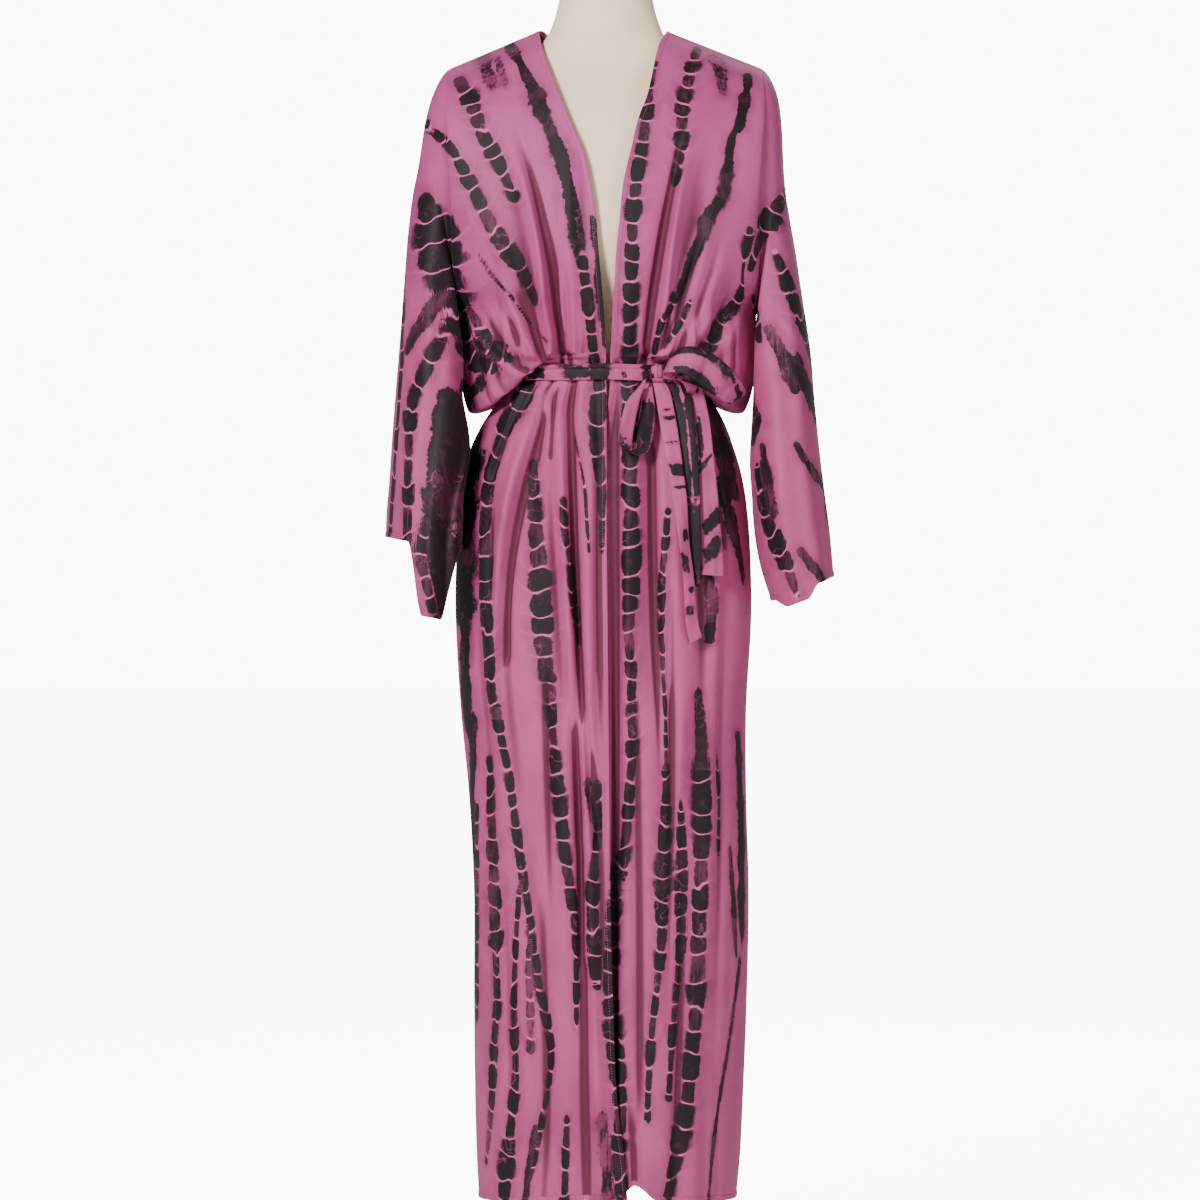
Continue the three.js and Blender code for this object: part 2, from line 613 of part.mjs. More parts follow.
/** A turned solid, from rows of radius and height. */
function turned(name, colour, profile, steps) {
  return rings(name, colour, profile.map(([radius, z]) => oval(steps, radius, radius, radius, z)));
}

const pink = 0xb8709a;
const pinkSleeve = 0x9a5a86;
const pinkBack = 0x8a4f78;
const dark = 0x4a3444;
const cream = 0xe6d8c8;
const wood = 0xc49a6c;

const robe = new THREE.Group();
robe.name = 'kimono_cover_up';
const vSteps = levels.length - 1;

for (const face of ['left', 'right']) {
  robe.add(wall(`robe_front_${face}`, pink, {
    point: (u, t) => frontPoint(face, u, t * vSteps),
    uSteps: FRONT_STEPS,
    vSteps,
    outward: face === 'right' ? -1 : 1,
    rim: bodyRim(FRONT_STEPS, [FRONT_STEPS]),
  }));
  const table = named(RING_COLUMNS, face === 'right' ? RIGHT_RINGS : LEFT_RINGS);
  const folds = named(
    SLEEVE_FOLD_COLUMNS,
    face === 'right' ? RIGHT_SLEEVE_FOLDS : LEFT_SLEEVE_FOLDS,
  );
  robe.add(wall(`sleeve_${face}`, pinkSleeve, {
    point: (u, t) => sleevePoint(face, table, folds, u, t * (table.length - 1)),
    uSteps: SLEEVE_STEPS,
    vSteps: table.length - 1,
    closed: true,
    outward: face === 'right' ? 1 : -1,
    rim: (i, j) => (j === 0 ? 'x' : null),
  }));
}
robe.add(wall('robe_back', pinkBack, {
  point: (u, t) => backPoint(u, t * vSteps),
  uSteps: BACK_STEPS,
  vSteps,
  outward: 1,
  rim: bodyRim(BACK_STEPS, [0, BACK_STEPS]),
}));

robe.add(beltBand(dark));
robe.add(beltKnot(dark));
robe.add(ribbon('bow_loop_left', dark, LEFT_LOOP, 2));
robe.add(ribbon('bow_loop_right', dark, RIGHT_LOOP, 2));
robe.add(ribbon('belt_tail_long', dark, LONG_TAIL, 2));
robe.add(ribbon('belt_tail_short', dark, SHORT_TAIL, 2));

robe.add(rings('form_torso', cream, named(FORM_COLUMNS, FORM).map((row) => (
  oval(FORM_STEPS, row.half, row.front, row.back, row.z)
))));
robe.add(turned('form_neck_cap', wood, [
  [NECK_CAP.half, NECK_CAP.bottom],
  [NECK_CAP.half, NECK_CAP.top - NECK_CAP.edge],
  [NECK_CAP.half - NECK_CAP.edge, NECK_CAP.top],
  [NECK_CAP.knob, NECK_CAP.top + 1],
  [NECK_CAP.knob, NECK_CAP.knobTop - 4],
  [NECK_CAP.knob - 6, NECK_CAP.knobTop],
], 28));
robe.add(turned('form_pole', wood, [
  [POLE.radius, POLE.bottom],
  [POLE.radius, POLE.top],
], 24));
robe.add(turned('form_base', wood, [
  [BASE.radius - BASE.foot, 0],
  [BASE.radius, BASE.foot],
  [BASE.radius, BASE.edge],
  [BASE.radius - 8, BASE.thickness],
  [BASE.collar + 6, BASE.thickness + 2],
  [BASE.collar, BASE.thickness + 8],
  [BASE.collar - 2, BASE.collarTop],
], 40));

export default robe;
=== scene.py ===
"""Kimono cover-up with its tie belt on a dress form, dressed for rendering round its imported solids."""

import logging
import math
from dataclasses import dataclass, field
from enum import Enum
from typing import Callable

import bmesh
import bpy
import numpy as np
from mathutils import Matrix, Vector

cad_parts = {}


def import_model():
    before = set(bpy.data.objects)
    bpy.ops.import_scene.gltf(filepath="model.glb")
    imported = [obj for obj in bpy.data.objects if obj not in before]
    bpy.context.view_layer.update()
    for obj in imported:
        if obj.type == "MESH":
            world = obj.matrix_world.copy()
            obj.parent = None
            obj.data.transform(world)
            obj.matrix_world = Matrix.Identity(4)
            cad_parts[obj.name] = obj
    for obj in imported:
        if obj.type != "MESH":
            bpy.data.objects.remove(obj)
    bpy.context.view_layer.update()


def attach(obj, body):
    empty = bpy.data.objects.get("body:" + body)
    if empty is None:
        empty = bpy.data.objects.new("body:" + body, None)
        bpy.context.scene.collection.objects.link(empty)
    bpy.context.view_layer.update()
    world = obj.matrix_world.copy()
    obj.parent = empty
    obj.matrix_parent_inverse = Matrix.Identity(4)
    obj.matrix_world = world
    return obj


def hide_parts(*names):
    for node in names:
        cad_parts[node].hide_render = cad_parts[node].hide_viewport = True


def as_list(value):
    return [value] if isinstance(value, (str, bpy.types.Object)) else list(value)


Array = np.ndarray
Colour = tuple[float, float, float]
Place = tuple[float, float, float]

MM = 0.001
CLOTH = 1.2
WAIST_HALF = 118.0
WAIST_FRONT = 84.0
WAIST_BACK = 80.0
SKIRT_TOP = 1092.0
HEM_REACH = 130.0
UNDYED = 9.0
WHITE = (1.0, 1.0, 1.0)
log = logging.getLogger("robe")


def mix(a: Array, b: Array, t: Array) -> Array:
    """Blends a into b as t goes from 0 to 1."""
    return a + (b - a) * t


def smooth(low: float, high: float, value: Array) -> Array:
    """A smooth step from 0 at low to 1 at high.

    Args:
        low: where the step begins.
        high: where it ends.
        value: the values to judge.

    Returns:
        The height of the step at each value.
    """
    t = np.clip((value - low) / (high - low), 0.0, 1.0)
    return t * t * (3.0 - 2.0 * t)


def lengths(points: Array, axis: int = 0) -> Array:
    """How far along a line, or along one way of a grid, each of its points lies."""
    steps = np.linalg.norm(np.diff(points, axis=axis), axis=-1)
    return np.insert(np.cumsum(steps, axis=axis), 0, 0.0, axis=axis)


def resample(line: Array, run: Array, goal: Array | float) -> Array:
    """Reads every column of a line at given lengths along it."""
    return np.stack([np.interp(goal, run, line[:, k]) for k in range(line.shape[1])], axis=-1)


class Table:
    """Rows of named columns, read between the rows on a smooth curve."""

    def __init__(self, names: str, rows: list[tuple[float, ...]]) -> None:
        """Keeps each column under its name.

        Args:
            names: the column names, with spaces between them.
            rows: the values, a row for each station.
        """
        self.last = len(rows) - 1
        self.columns = {
            name: np.array(values, dtype=float) for name, values in zip(names.split(), zip(*rows))
        }

    def read(self, name: str, at: Array) -> Array:
        """Reads a column at places between its rows.

        Args:
            name: the column.
            at: row numbers, with fractions.

        Returns:
            The column's values there.
        """
        held = self.columns[name]
        padded = np.concatenate(([2 * held[0] - held[1]], held, [2 * held[-1] - held[-2]]))
        at = np.asarray(at, dtype=float)
        i = np.clip(np.floor(at).astype(int), 0, self.last - 1)
        t = at - i
        p0, p1, p2, p3 = (padded[i + k] for k in range(4))
        m1 = (p2 - p0) / 2
        m2 = (p3 - p1) / 2
        t2 = t * t
        t3 = t2 * t
        start = (2 * t3 - 3 * t2 + 1) * p1 + (t3 - 2 * t2 + t) * m1
        return start + (3 * t2 - 2 * t3) * p2 + (t3 - t2) * m2


# A row for each level of the body, from the shoulder ridge down to the hem. All are millimetres
# but ease, the share of a rounded fall to the side, and n, the power of the section's curve.
LEVELS = Table(
    "z side_z ease left right front back arm_front arm_back edge_left edge_right n",
    [
        (1515, 1470, 0, 187, 187, 0, 0, 0, 0, -81, 73, 2.0),
        (1494, 1453, 0, 189, 189, 37, 70, 30, 20, -77, 63, 2.2),
        (1462, 1428, 0, 190, 190, 66, 84, 54, 36, -67, 56, 2.3),
        (1430, 1402, 0, 191, 189, 88, 92, 70, 48, -55, 49, 2.4),
        (1400, 1376, 0, 190, 187, 101, 97, 80, 56, -43, 38, 2.4),
        (1362, 1344, 0, 188, 185, 112, 102, 86, 60, -27, 29, 2.4),
        (1322, 1310, 0, 186, 183, 120, 104, 88, 60, -18, 20, 2.4),
        (1282, 1274, 0, 184, 182, 124, 102, 86, 56, -12, 16, 2.3),
        (1244, 1238, 0, 183, 182, 125, 99, 76, 46, -9, 12, 2.3),
        (1210, 1203, 0, 182, 182, 122, 97, 50, 27, -6, 10, 2.2),
        (1186, 1174, 0, 181, 181, 118, 95, 0, 0, -4, 8, 2.2),
        (1160, 1138, 1, 179, 181, 110, 94, 0, 0, -2, 7, 2.2),
        (1138, 1100, 1, 176, 180, 102, 93, 0, 0, -1, 6, 2.2),
        (1127, 1056, 1, 165, 166, 95, 92, 0, 0, 0, 5, 2.1),
        (1123, 1068, 1, 147, 146, 92, 89, 0, 0, 0, 5, 2.1),
        (1120, 1096, 1, 134, 133, 90, 86, 0, 0, 0, 5, 2.0),
        (1117, 1117, 0, 126, 126, 88, 84, 0, 0, 0, 5, 2.0),
        (1110, 1110, 0, 118, 118, 84, 80, 0, 0, 0, 5, 2.0),
        (1092, 1092, 0, 118, 118, 84, 80, 0, 0, 0, 5, 2.0),
        (1078, 1078, 0, 126, 123, 87, 84, 0, 0, 1, 4, 2.0),
        (1060, 1060, 0, 137, 134, 90, 90, 0, 0, 1, 2, 2.0),
        (1038, 1038, 0, 151, 145, 94, 98, 0, 0, 1, 0, 2.0),
        (1010, 1010, 0, 164, 155, 99, 106, 0, 0, 1, -4, 2.0),
        (978, 978, 0, 171, 164, 104, 112, 0, 0, 1, -5, 2.0),
        (940, 940, 0, 174, 170, 108, 117, 0, 0, 1, -6, 2.0),
        (885, 885, 0, 180, 174, 111, 121, 0, 0, 1, -6, 2.0),
        (805, 805, 0, 181, 175, 114, 124, 0, 0, 2, -6, 2.0),
        (700, 700, 0, 175, 169, 117, 125, 0, 0, 3, -5, 2.0),
        (595, 595, 0, 165, 169, 119, 126, 0, 0, 4, -4, 2.0),
        (480, 480, 0, 159, 172, 122, 127, 0, 0, 5, -3, 2.0),
        (360, 360, 0, 159, 170, 124, 128, 0, 0, 8, 0, 2.0),
        (255, 253, 0, 158, 166, 126, 129, 0, 0, 12, 4, 2.0),
        (174, 168, 0, 156, 162, 128, 130, 0, 0, 21, 13, 2.0),
        (123, 113, 0, 153, 157, 130, 131, 0, 0, 25, 22, 2.0),
    ],
)
UNDERARM_ROW = 10


class Face(Enum):
    """Which cut piece of the body a point lies on."""

    LEFT = "left"
    RIGHT = "right"
    BACK = "back"


@dataclass(frozen=True)
class Fold:
    """One soft ridge of the cloth, or a trough where its height is negative.

    z_top and z_bottom are its ends, x_top, x_middle and x_bottom its path, and skew is how much
    sharper its right side is. Each row of the tables of folds holds these fields in this order.
    """

    face: Face
    z_top: float
    z_bottom: float
    x_top: float
    x_middle: float
    x_bottom: float
    width: float
    height: float
    skew: float = 0.0

    def lift(self, x: Array, z: Array) -> Array:
        """How far the fold stands out at each point.

        Args:
            x: where the points lie across.
            z: how high they lie.

        Returns:
            The height of the fold there, in millimetres.
        """
        t = (self.z_top - z) / (self.z_top - self.z_bottom)
        s = np.clip(t, 0, 1)
        bend = 2 * self.x_middle - 0.5 * (self.x_top + self.x_bottom)
        path = (1 - s) ** 2 * self.x_top + 2 * s * (1 - s) * bend + s * s * self.x_bottom
        inside = (t > -0.05) & (t < 1.05)
        return np.where(inside, self.section(x - path, t), 0.0)

    def section(self, off: Array, t: Array) -> Array:
        """The fold's height beside its path.

        Args:
            off: how far to the right of the path each point lies.
            t: how far down the fold it lies, from 0 to 1.

        Returns:
            The height there, in millimetres.
        """
        side = np.where(off < 0, -1.0, 1.0)
        q = off / (self.width * (1 - 0.6 * self.skew * side))
        above = smooth(0, 0.6, t) if self.z_top > SKIRT_TOP else smooth(-0.05, 0.14, t)
        below = 1.0
        if HEM_REACH <= self.z_bottom <= SKIRT_TOP:
            below = 1 - smooth(0.25, 1.05, t)
        return self.height * above * below * np.exp(-q * q)


@dataclass(frozen=True)
class Pleat(Fold):
    """A ridge with one crisp side and a deep trough beyond it; skew is 1 or -1 for that side.

    One that starts above SKIRT_TOP grows over its upper half and is full at its lower end, also
    where it runs down the skirt from just under the belt. A lower one fades out downwards.
    """

    def section(self, off: Array, t: Array) -> Array:
        """The pleat's height beside its path.

        Args:
            off: how far to the right of the path each point lies.
            t: how far down the pleat it lies, from 0 to 1.

        Returns:
            The height there, in millimetres.
        """
        beyond = off * self.skew
        broad = np.where(beyond < 0, 1.35, 0.3) * self.width
        ridge = np.exp(-((beyond / broad) ** 2))
        trough = 0.8 * np.exp(-(((beyond - 0.9 * self.width) / (0.55 * self.width)) ** 2))
        high = self.z_top > SKIRT_TOP
        ends = smooth(0, 0.5, t) if high else smooth(-0.04, 0.05, t) * (1 - smooth(0.15, 1.0, t))
        return self.height * ends * (ridge - trough)


def pleats(face: Face, rows: list[tuple[float, ...]]) -> list[Pleat]:
    """The pleats of one face, from rows of plain numbers."""
    return [Pleat(face, *row) for row in rows]


def folds(face: Face, rows: list[tuple[float, ...]]) -> list[Fold]:
    """The folds of one face, from rows of plain numbers."""
    return [Fold(face, *row) for row in rows]


LEFT, RIGHT, BACK = Face.LEFT, Face.RIGHT, Face.BACK

MAIN_FOLDS = [
    *folds(LEFT, [
        (1400, 1118, -118, -80, -60, 13, 9, 0.6),
        (1430, 1118, -46, -42, -40, 10, 5, 0.3),
        (1330, 1118, -150, -118, -86, 13, 6, 0.3),
        (1250, 1118, -28, -26, -24, 9, 4, 0),
        (1092, 780, -66, -112, -126, 14, 10, 0.5),
        (1092, 560, -53, -42, -18, 10, 8, 0.7),
        (1092, 120, -24, -15, -10, 14, 8, -0.5),
        (900, 300, -150, -116, -86, 13, 8, 0.4),
        (700, 112, -60, -48, -38, 15, 7, 0.2),
        (620, 112, -104, -96, -100, 17, 7, 0),
        (1092, 900, -92, -120, -140, 10, 6, 0),
    ]),
    *folds(RIGHT, [
        (1440, 1118, 112, 80, 55, 13, 9, -0.6),
        (1380, 1118, 144, 116, 78, 13, 6, -0.3),
        (1300, 1118, 160, 130, 100, 13, 6, -0.3),
        (1250, 1118, 30, 28, 26, 9, 4, 0),
        (1092, 560, 31, 29, 27, 14, 8, -0.4),
        (1092, 480, 74, 86, 88, 12, 8, -0.5),
        (1092, 760, 96, 124, 136, 11, 7, 0),
        (760, 112, 58, 62, 52, 20, 7, 0),
        (640, 112, 112, 108, 104, 20, 6, 0),
    ]),
    *folds(BACK, [
        (1420, 1118, -120, -92, -70, 15, 8, 0),
        (1460, 1118, -40, -34, -26, 14, 5, 0),
        (1450, 1118, 44, 36, 30, 14, 6, 0),
        (1400, 1118, 124, 98, 76, 15, 8, 0),
        (1092, 600, -70, -104, -112, 16, 10, 0),
        (1092, 112, -34, -44, -52, 18, 9, 0),
        (1092, 112, 4, 6, 10, 18, 9, 0),
        (1092, 112, 40, 56, 64, 18, 9, 0),
        (1092, 500, 78, 108, 118, 16, 10, 0),
    ]),
]

# Finer creases and deeper troughs that only the cloth itself shows.
CREASES = [
    *pleats(LEFT, [
        (1400, 1112, -118, -80, -60, 9, 8.5, 1),
        (1230, 1110, -54, -51, -47, 6, 6.5, 1),
        (1165, 1110, -60, -59, -57, 4, 4.5, 1),
        (1230, 1108, -130, -104, -78, 9, 4.0, 1),
        (1180, 1104, -168, -150, -112, 10, 4.5, 1),
        (1094, 780, -66, -112, -126, 9, 9.5, 1),
        (1094, 560, -53, -42, -18, 9, 8.5, 1),
        (1094, 430, -38, -27, -23, 8, 6.5, -1),
        (1094, 1000, -66, -67, -70, 5, 5.0, 1),
        (1094, 980, -88, -116, -140, 8, 5.0, 1),
        (1094, 760, -14, -15, -14, 6, 3.0, 1),
        (700, 112, -46, -34, -30, 9, 4.5, 1),
    ]),
    *pleats(RIGHT, [
        (1440, 1112, 112, 80, 55, 10, 8.5, -1),
        (1290, 1110, 128, 100, 68, 8, 5.5, -1),
        (1210, 1108, 84, 74, 60, 5, 4.5, -1),
        (1200, 1108, 42, 40, 38, 7, 3.0, -1),
        (1190, 1104, 166, 148, 104, 10, 4.5, -1),
        (1094, 240, 20, 20, 17, 8, 6.5, -1),
        (1000, 480, 64, 68, 72, 8, 6.5, -1),
        (1094, 900, 82, 104, 120, 9, 6.0, -1),
        (1094, 900, 102, 130, 150, 8, 5.5, -1),
        (720, 112, 84, 80, 62, 9, 4.5, -1),
    ]),
    *pleats(BACK, [
        (1340, 1108, -102, -78, -58, 9, 8.0, 1),
        (1300, 1108, -48, -40, -30, 8, 5.5, 1),
        (1290, 1108, 46, 40, 32, 8, 5.5, -1),
        (1350, 1108, 110, 84, 62, 9, 8.0, -1),
        (1094, 820, -58, -86, -104, 9, 8.5, 1),
        (1094, 660, -22, -30, -34, 8, 7.5, 1),
        (1094, 700, 22, 30, 36, 8, 7.5, -1),
        (1094, 820, 62, 90, 108, 9, 8.5, -1),
    ]),
    *folds(LEFT, [
        (1300, 1112, -72, -60, -52, 7, -5.0, -0.4),
        (1240, 1112, -112, -92, -70, 8, -6.5, 0.0),
        (1210, 1108, -158, -142, -108, 9, -6.0, 0.0),
        (1190, 1108, -134, -116, -88, 6, 5.0, 0.0),
        (1080, 760, -70, -96, -104, 15, -8.0, 0.0),
        (1092, 620, -42, -36, -20, 7, -5.0, 0.0),
        (1000, 300, -8, -9, -4, 7, -4.5, 0.0),
        (1420, 1112, -104, -80, -62, 4, 3.6, 0.5),
        (1260, 1112, -88, -70, -52, 4, 3.2, 0.4),
        (1230, 1112, -126, -106, -76, 5, 3.4, 0.2),
        (1200, 1112, -152, -128, -96, 5, 3.0, 0.0),
        (1210, 1112, -62, -56, -48, 5, -3.4, 0.0),
        (1180, 1112, -40, -38, -36, 4, 2.4, 0.0),
        (1092, 930, -70, -88, -104, 5, 3.6, 0.4),
        (1092, 1000, -82, -104, -124, 4, 3.0, 0.2),
        (1092, 960, -100, -122, -140, 5, -3.0, 0.0),
        (960, 420, -136, -128, -118, 6, -3.2, 0.0),
        (840, 112, -132, -124, -128, 8, 3.2, 0.0),
        (760, 300, -74, -66, -58, 6, -3.0, 0.0),
        (560, 112, -16, -12, -4, 7, 2.6, 0.4),
        (480, 112, -76, -70, -74, 7, -3.0, 0.0),
    ]),
    *folds(RIGHT, [
        (1340, 1112, 74, 62, 48, 9, -5.5, 0.4),
        (1280, 1112, 116, 96, 70, 8, -6.5, 0.0),
        (1230, 1108, 156, 138, 104, 9, -6.5, 0.0),
        (1190, 1108, 128, 112, 84, 6, 5.0, 0.0),
        (1092, 500, 50, 54, 56, 11, -7.0, 0.0),
        (1092, 640, 96, 110, 112, 8, -5.5, 0.0),
        (1092, 800, 110, 138, 150, 7, -5.5, 0.0),
        (1430, 1112, 98, 78, 58, 4, 3.6, -0.5),
        (1300, 1112, 116, 92, 66, 4, 3.0, -0.4),
        (1250, 1112, 142, 116, 84, 5, 3.2, -0.2),
        (1220, 1112, 84, 72, 56, 5, -3.4, 0.0),
        (1180, 1112, 44, 42, 40, 4, 2.4, 0.0),
        (1170, 1112, 150, 134, 104, 5, 2.8, 0.0),
        (1092, 940, 88, 108, 122, 4, 3.2, 0.0),
        (1092, 980, 102, 126, 140, 5, -3.0, 0.0),
        (900, 340, 130, 128, 124, 8, 3.0, 0.0),
        (700, 112, 36, 40, 34, 7, -3.2, 0.0),
        (620, 112, 84, 86, 78, 6, -3.4, 0.0),
        (600, 112, 136, 132, 134, 8, -2.8, 0.0),
    ]),
    *folds(BACK, [
        (1400, 1112, -106, -84, -62, 5, 3.4, 0.3),
        (1330, 1112, -70, -58, -44, 5, -3.0, 0.0),
        (1240, 1112, -140, -116, -88, 5, 3.0, 0.0),
        (1200, 1112, -16, -14, -10, 5, 3.0, 0.0),
        (1250, 1112, 20, 18, 14, 5, -3.0, 0.0),
        (1380, 1112, 96, 76, 56, 5, 3.4, -0.3),
        (1260, 1112, 146, 120, 90, 5, 3.0, 0.0),
        (1092, 860, -84, -112, -128, 5, 3.2, 0.0),
        (1092, 760, -52, -68, -78, 5, -3.4, 0.0),
        (1092, 700, -14, -18, -20, 5, -3.2, 0.0),
        (1092, 800, 24, 30, 36, 5, -3.2, 0.0),
        (1092, 880, 92, 122, 136, 5, 3.2, 0.0),
        (760, 112, -128, -124, -126, 8, 3.0, 0.0),
        (700, 112, 30, 34, 38, 7, -3.2, 0.0),
        (640, 112, -14, -18, -22, 7, -3.2, 0.0),
        (620, 112, 128, 126, 128, 8, 3.0, 0.0),
    ]),
]


@dataclass(frozen=True)
class RobeBody:
    """The robe's body: its two fronts and its back, worked out from the levels.

    side_fade is where, on the way to the side, the relief begins to fade and where it is gone.
    drifts are the skirt's slow waves: the height of each, how many there are across and to each
    millimetre down, and where it starts.
    """

    wall: float = 1.5
    belt_z: float = 1101.0
    belt_middle: float = 1100.7
    belt_half: float = 10.0
    belt_gap: float = 0.8
    belt_wall: float = 1.2
    gather_depth: float = 2.6
    front_waves: float = 7
    back_waves: float = 9
    overtone: float = 0.45
    side_fade: tuple[float, float] = (0.72, 0.97)
    cusp_height: float = 4.2
    cusp_clear: tuple[float, float] = (9, 20)
    cusp_full: float = 16
    cusp_reach: float = 44
    drift_top: float = 1060
    drift_reach: float = 400
    drifts: tuple[tuple[float, ...], ...] = ((1.8, 3.2, 0.0011, 0.0), (0.9, 6.1, -0.0017, 1.1))
    fade_above: float = 60
    fade_below: float = 70
    lap_depth: float = 9
    lap_width: float = 16
    lap_top: float = 1088
    lap_full: float = 1020
    corner_x: float = 36
    corner_width: float = 14
    corner_lift: float = 17
    neck_half: float = 76
    neck_depth: float = 66
    neck_dip: float = 14
    neck_fade: float = 1.6

    def point(self, face: Face, theta: Array, v: Array, share: Array, fine: bool = True) -> Array:
        """Points of the body.

        Args:
            face: the cut piece.
            theta: the half turn round the body, from -90 degrees at the left side.
            v: the level, as a row number.
            share: how far across the piece the point lies.
            fine: whether the finer creases are there.

        Returns:
            The points, with x, y and z in the last axis.
        """
        left_half = theta < 0
        side = np.where(left_half, -1.0, 1.0)
        half = np.where(left_half, LEVELS.read("left", v), LEVELS.read("right", v))
        n = LEVELS.read("n", v)
        sin = np.abs(np.sin(theta))
        cos = np.maximum(0.0, np.cos(theta))
        across = sin ** (2 / n)
        x = side * half * across
        back = face is BACK
        arm = LEVELS.read("arm_back" if back else "arm_front", v)
        depth = LEVELS.read("back" if back else "front", v)
        edge = np.abs(
            np.where(left_half, LEVELS.read("edge_left", v), LEVELS.read("edge_right", v))
        )
        slope = np.clip((np.abs(x) - edge) / (half - edge), 0, 1)
        fall = mix(slope, smooth(0.3, 1, across), LEVELS.read("ease", v))
        z = mix(LEVELS.read("z", v), LEVELS.read("side_z", v), fall)
        y = arm + (depth - arm) * cos ** (2 / n)
        if back:
            t = np.clip(np.abs(x) / self.neck_half, 0, 1)
            fade = 1 - smooth(0, self.neck_fade, v)
            y = mix(y, self.neck_depth * np.sqrt(1 - t * t), fade)
            z = z - self.neck_dip * (1 - t * t) * fade
        out = self.relief(face, x, z, share, across, fine) * smooth(0, 2, v)
        at_belt = 1 - smooth(*((11, 20) if fine else (14, 32)), np.abs(z - self.belt_z))
        out = mix(out, np.clip(out, -self.gather_depth, self.gather_depth), at_belt)
        if face is RIGHT:
            lap = smooth(-self.lap_top, -self.lap_full, -z)
            hidden = x - LEVELS.read("edge_left", v)
            out = out - self.lap_depth * lap * (1 - smooth(8, 8 + self.lap_width, hidden))
            corner = (x - self.corner_x) / self.corner_width
            z = z + self.corner_lift * np.exp(-corner * corner) * smooth(31.5, 33, v)
        nx = across ** (n - 1) / half
        ny = np.maximum(1e-6, cos ** (2 / n)) ** (n - 1) / np.maximum(20, depth - arm)
        size = np.hypot(nx, ny)
        facing = 1.0 if back else -1.0
        return np.stack([x + side * nx / size * out, facing * (y + ny / size * out), z], axis=-1)

    def relief(
        self, face: Face, x: Array, z: Array, share: Array, across: Array, fine: bool
    ) -> Array:
        """How far folds, creases and gathers stand out.

        Args:
            face: the cut piece.
            x: where the points lie across.
            z: how high they lie.
            share: how far across the piece they lie.
            across: how far towards the side they lie.
            fine: whether the finer creases are there.

        Returns:
            The height of the relief, in millimetres.
        """
        fade = 1 - smooth(*self.side_fade, across)
        shown = [*MAIN_FOLDS, *CREASES] if fine else MAIN_FOLDS
        out = sum(fold.lift(x, z) for fold in shown if fold.face is face) * fade
        reach = np.where(z > self.belt_z, self.fade_above, self.fade_below)
        bed = np.exp(-(((z - self.belt_z) / reach) ** 2))
        waves = self.back_waves if face is BACK else self.front_waves
        swell = np.cos(2 * np.pi * waves * share)
        if fine:
            swell = swell + self.overtone * np.cos(2 * np.pi * (waves * 1.7 * share + 0.13))
            beside = np.abs(z - self.belt_z)
            far = np.maximum(0, beside - self.cusp_full) / self.cusp_reach
            near = smooth(*self.cusp_clear, beside) * np.exp(-(far**2))
            uneven = 0.55 + 0.45 * np.cos(2 * np.pi * (2.3 * share + 0.2))
            phase = waves * 1.25 * share + 0.35 * np.sin(5.1 * share + 0.004 * z)
            cusp = 1 - 2 * np.abs(np.sin(np.pi * phase)) ** 0.75
            out = out + self.cusp_height * near * uneven * cusp * fade
            low = smooth(0, 1, (self.drift_top - z) / self.drift_reach)
            drift = sum(
                high * np.sin(2 * np.pi * (count * share + slant * z) + start)
                for high, count, slant, start in self.drifts
            )
            out = out + low * drift * fade
        return out + self.gather_depth * bed * swell * fade

    def angle(self, x: Array, half: Array, n: Array) -> Array:
        """The half turn at which a section reaches x."""
        return np.sign(x) * np.arcsin(np.clip(np.abs(x) / half, 0, 1) ** (n / 2))

    def front(self, face: Face, share: Array, v: Array) -> Array:
        """Points of a front, from its free edge at share 0 to its side at share 1."""
        edge = LEVELS.read("edge_right" if face is RIGHT else "edge_left", v)
        half = np.where(edge < 0, LEVELS.read("left", v), LEVELS.read("right", v))
        start = self.angle(edge, half, LEVELS.read("n", v))
        end = np.pi / 2 if face is RIGHT else -np.pi / 2
        return self.point(face, mix(start, end, share), v, share)

    def rear(self, share: Array, v: Array) -> Array:
        """Points of the back, from the left side at share 0 to the right side at share 1."""
        return self.point(BACK, mix(-np.pi / 2, np.pi / 2, share), v, share)

    def front_of(self, x: float, z: float) -> float:
        """The frontmost y of the robe at a place, its belt included."""
        v = np.linspace(UNDERARM_ROW, LEVELS.last, (LEVELS.last - UNDERARM_ROW) * 6 + 1)
        half = LEVELS.read("left" if x < 0 else "right", v)
        v = v[np.abs(x) < half]
        half = half[np.abs(x) < half]
        face = LEFT if x < 2 else RIGHT
        theta = self.angle(np.full_like(v, x), half, LEVELS.read("n", v))
        found = self.point(face, theta, v, np.full_like(v, 0.5), fine=False)
        above, below = found[:-1], found[1:]
        crossing = (above[:, 2] - z) * (below[:, 2] - z) <= 0
        nearest = min(0.0, *above[crossing, 1], *below[crossing, 1]) if crossing.any() else 0.0
        at_belt = abs(z - self.belt_middle) < self.belt_half
        return min(nearest, self.belt_face(x)) if at_belt else nearest

    def belt_face(self, x: float) -> float:
        """The belt's outer y at x."""
        reach = self.gather_depth + self.wall + self.belt_gap + self.belt_wall
        t = min(1.0, abs(x) / (WAIST_HALF + reach))
        return -(WAIST_FRONT + reach) * math.sqrt(1 - t * t)


BODY = RobeBody()


class Dye(Enum):
    """How bound dye looks: neat blocks or one ragged streak."""

    LADDER = 0.0
    RAGGED = 1.0


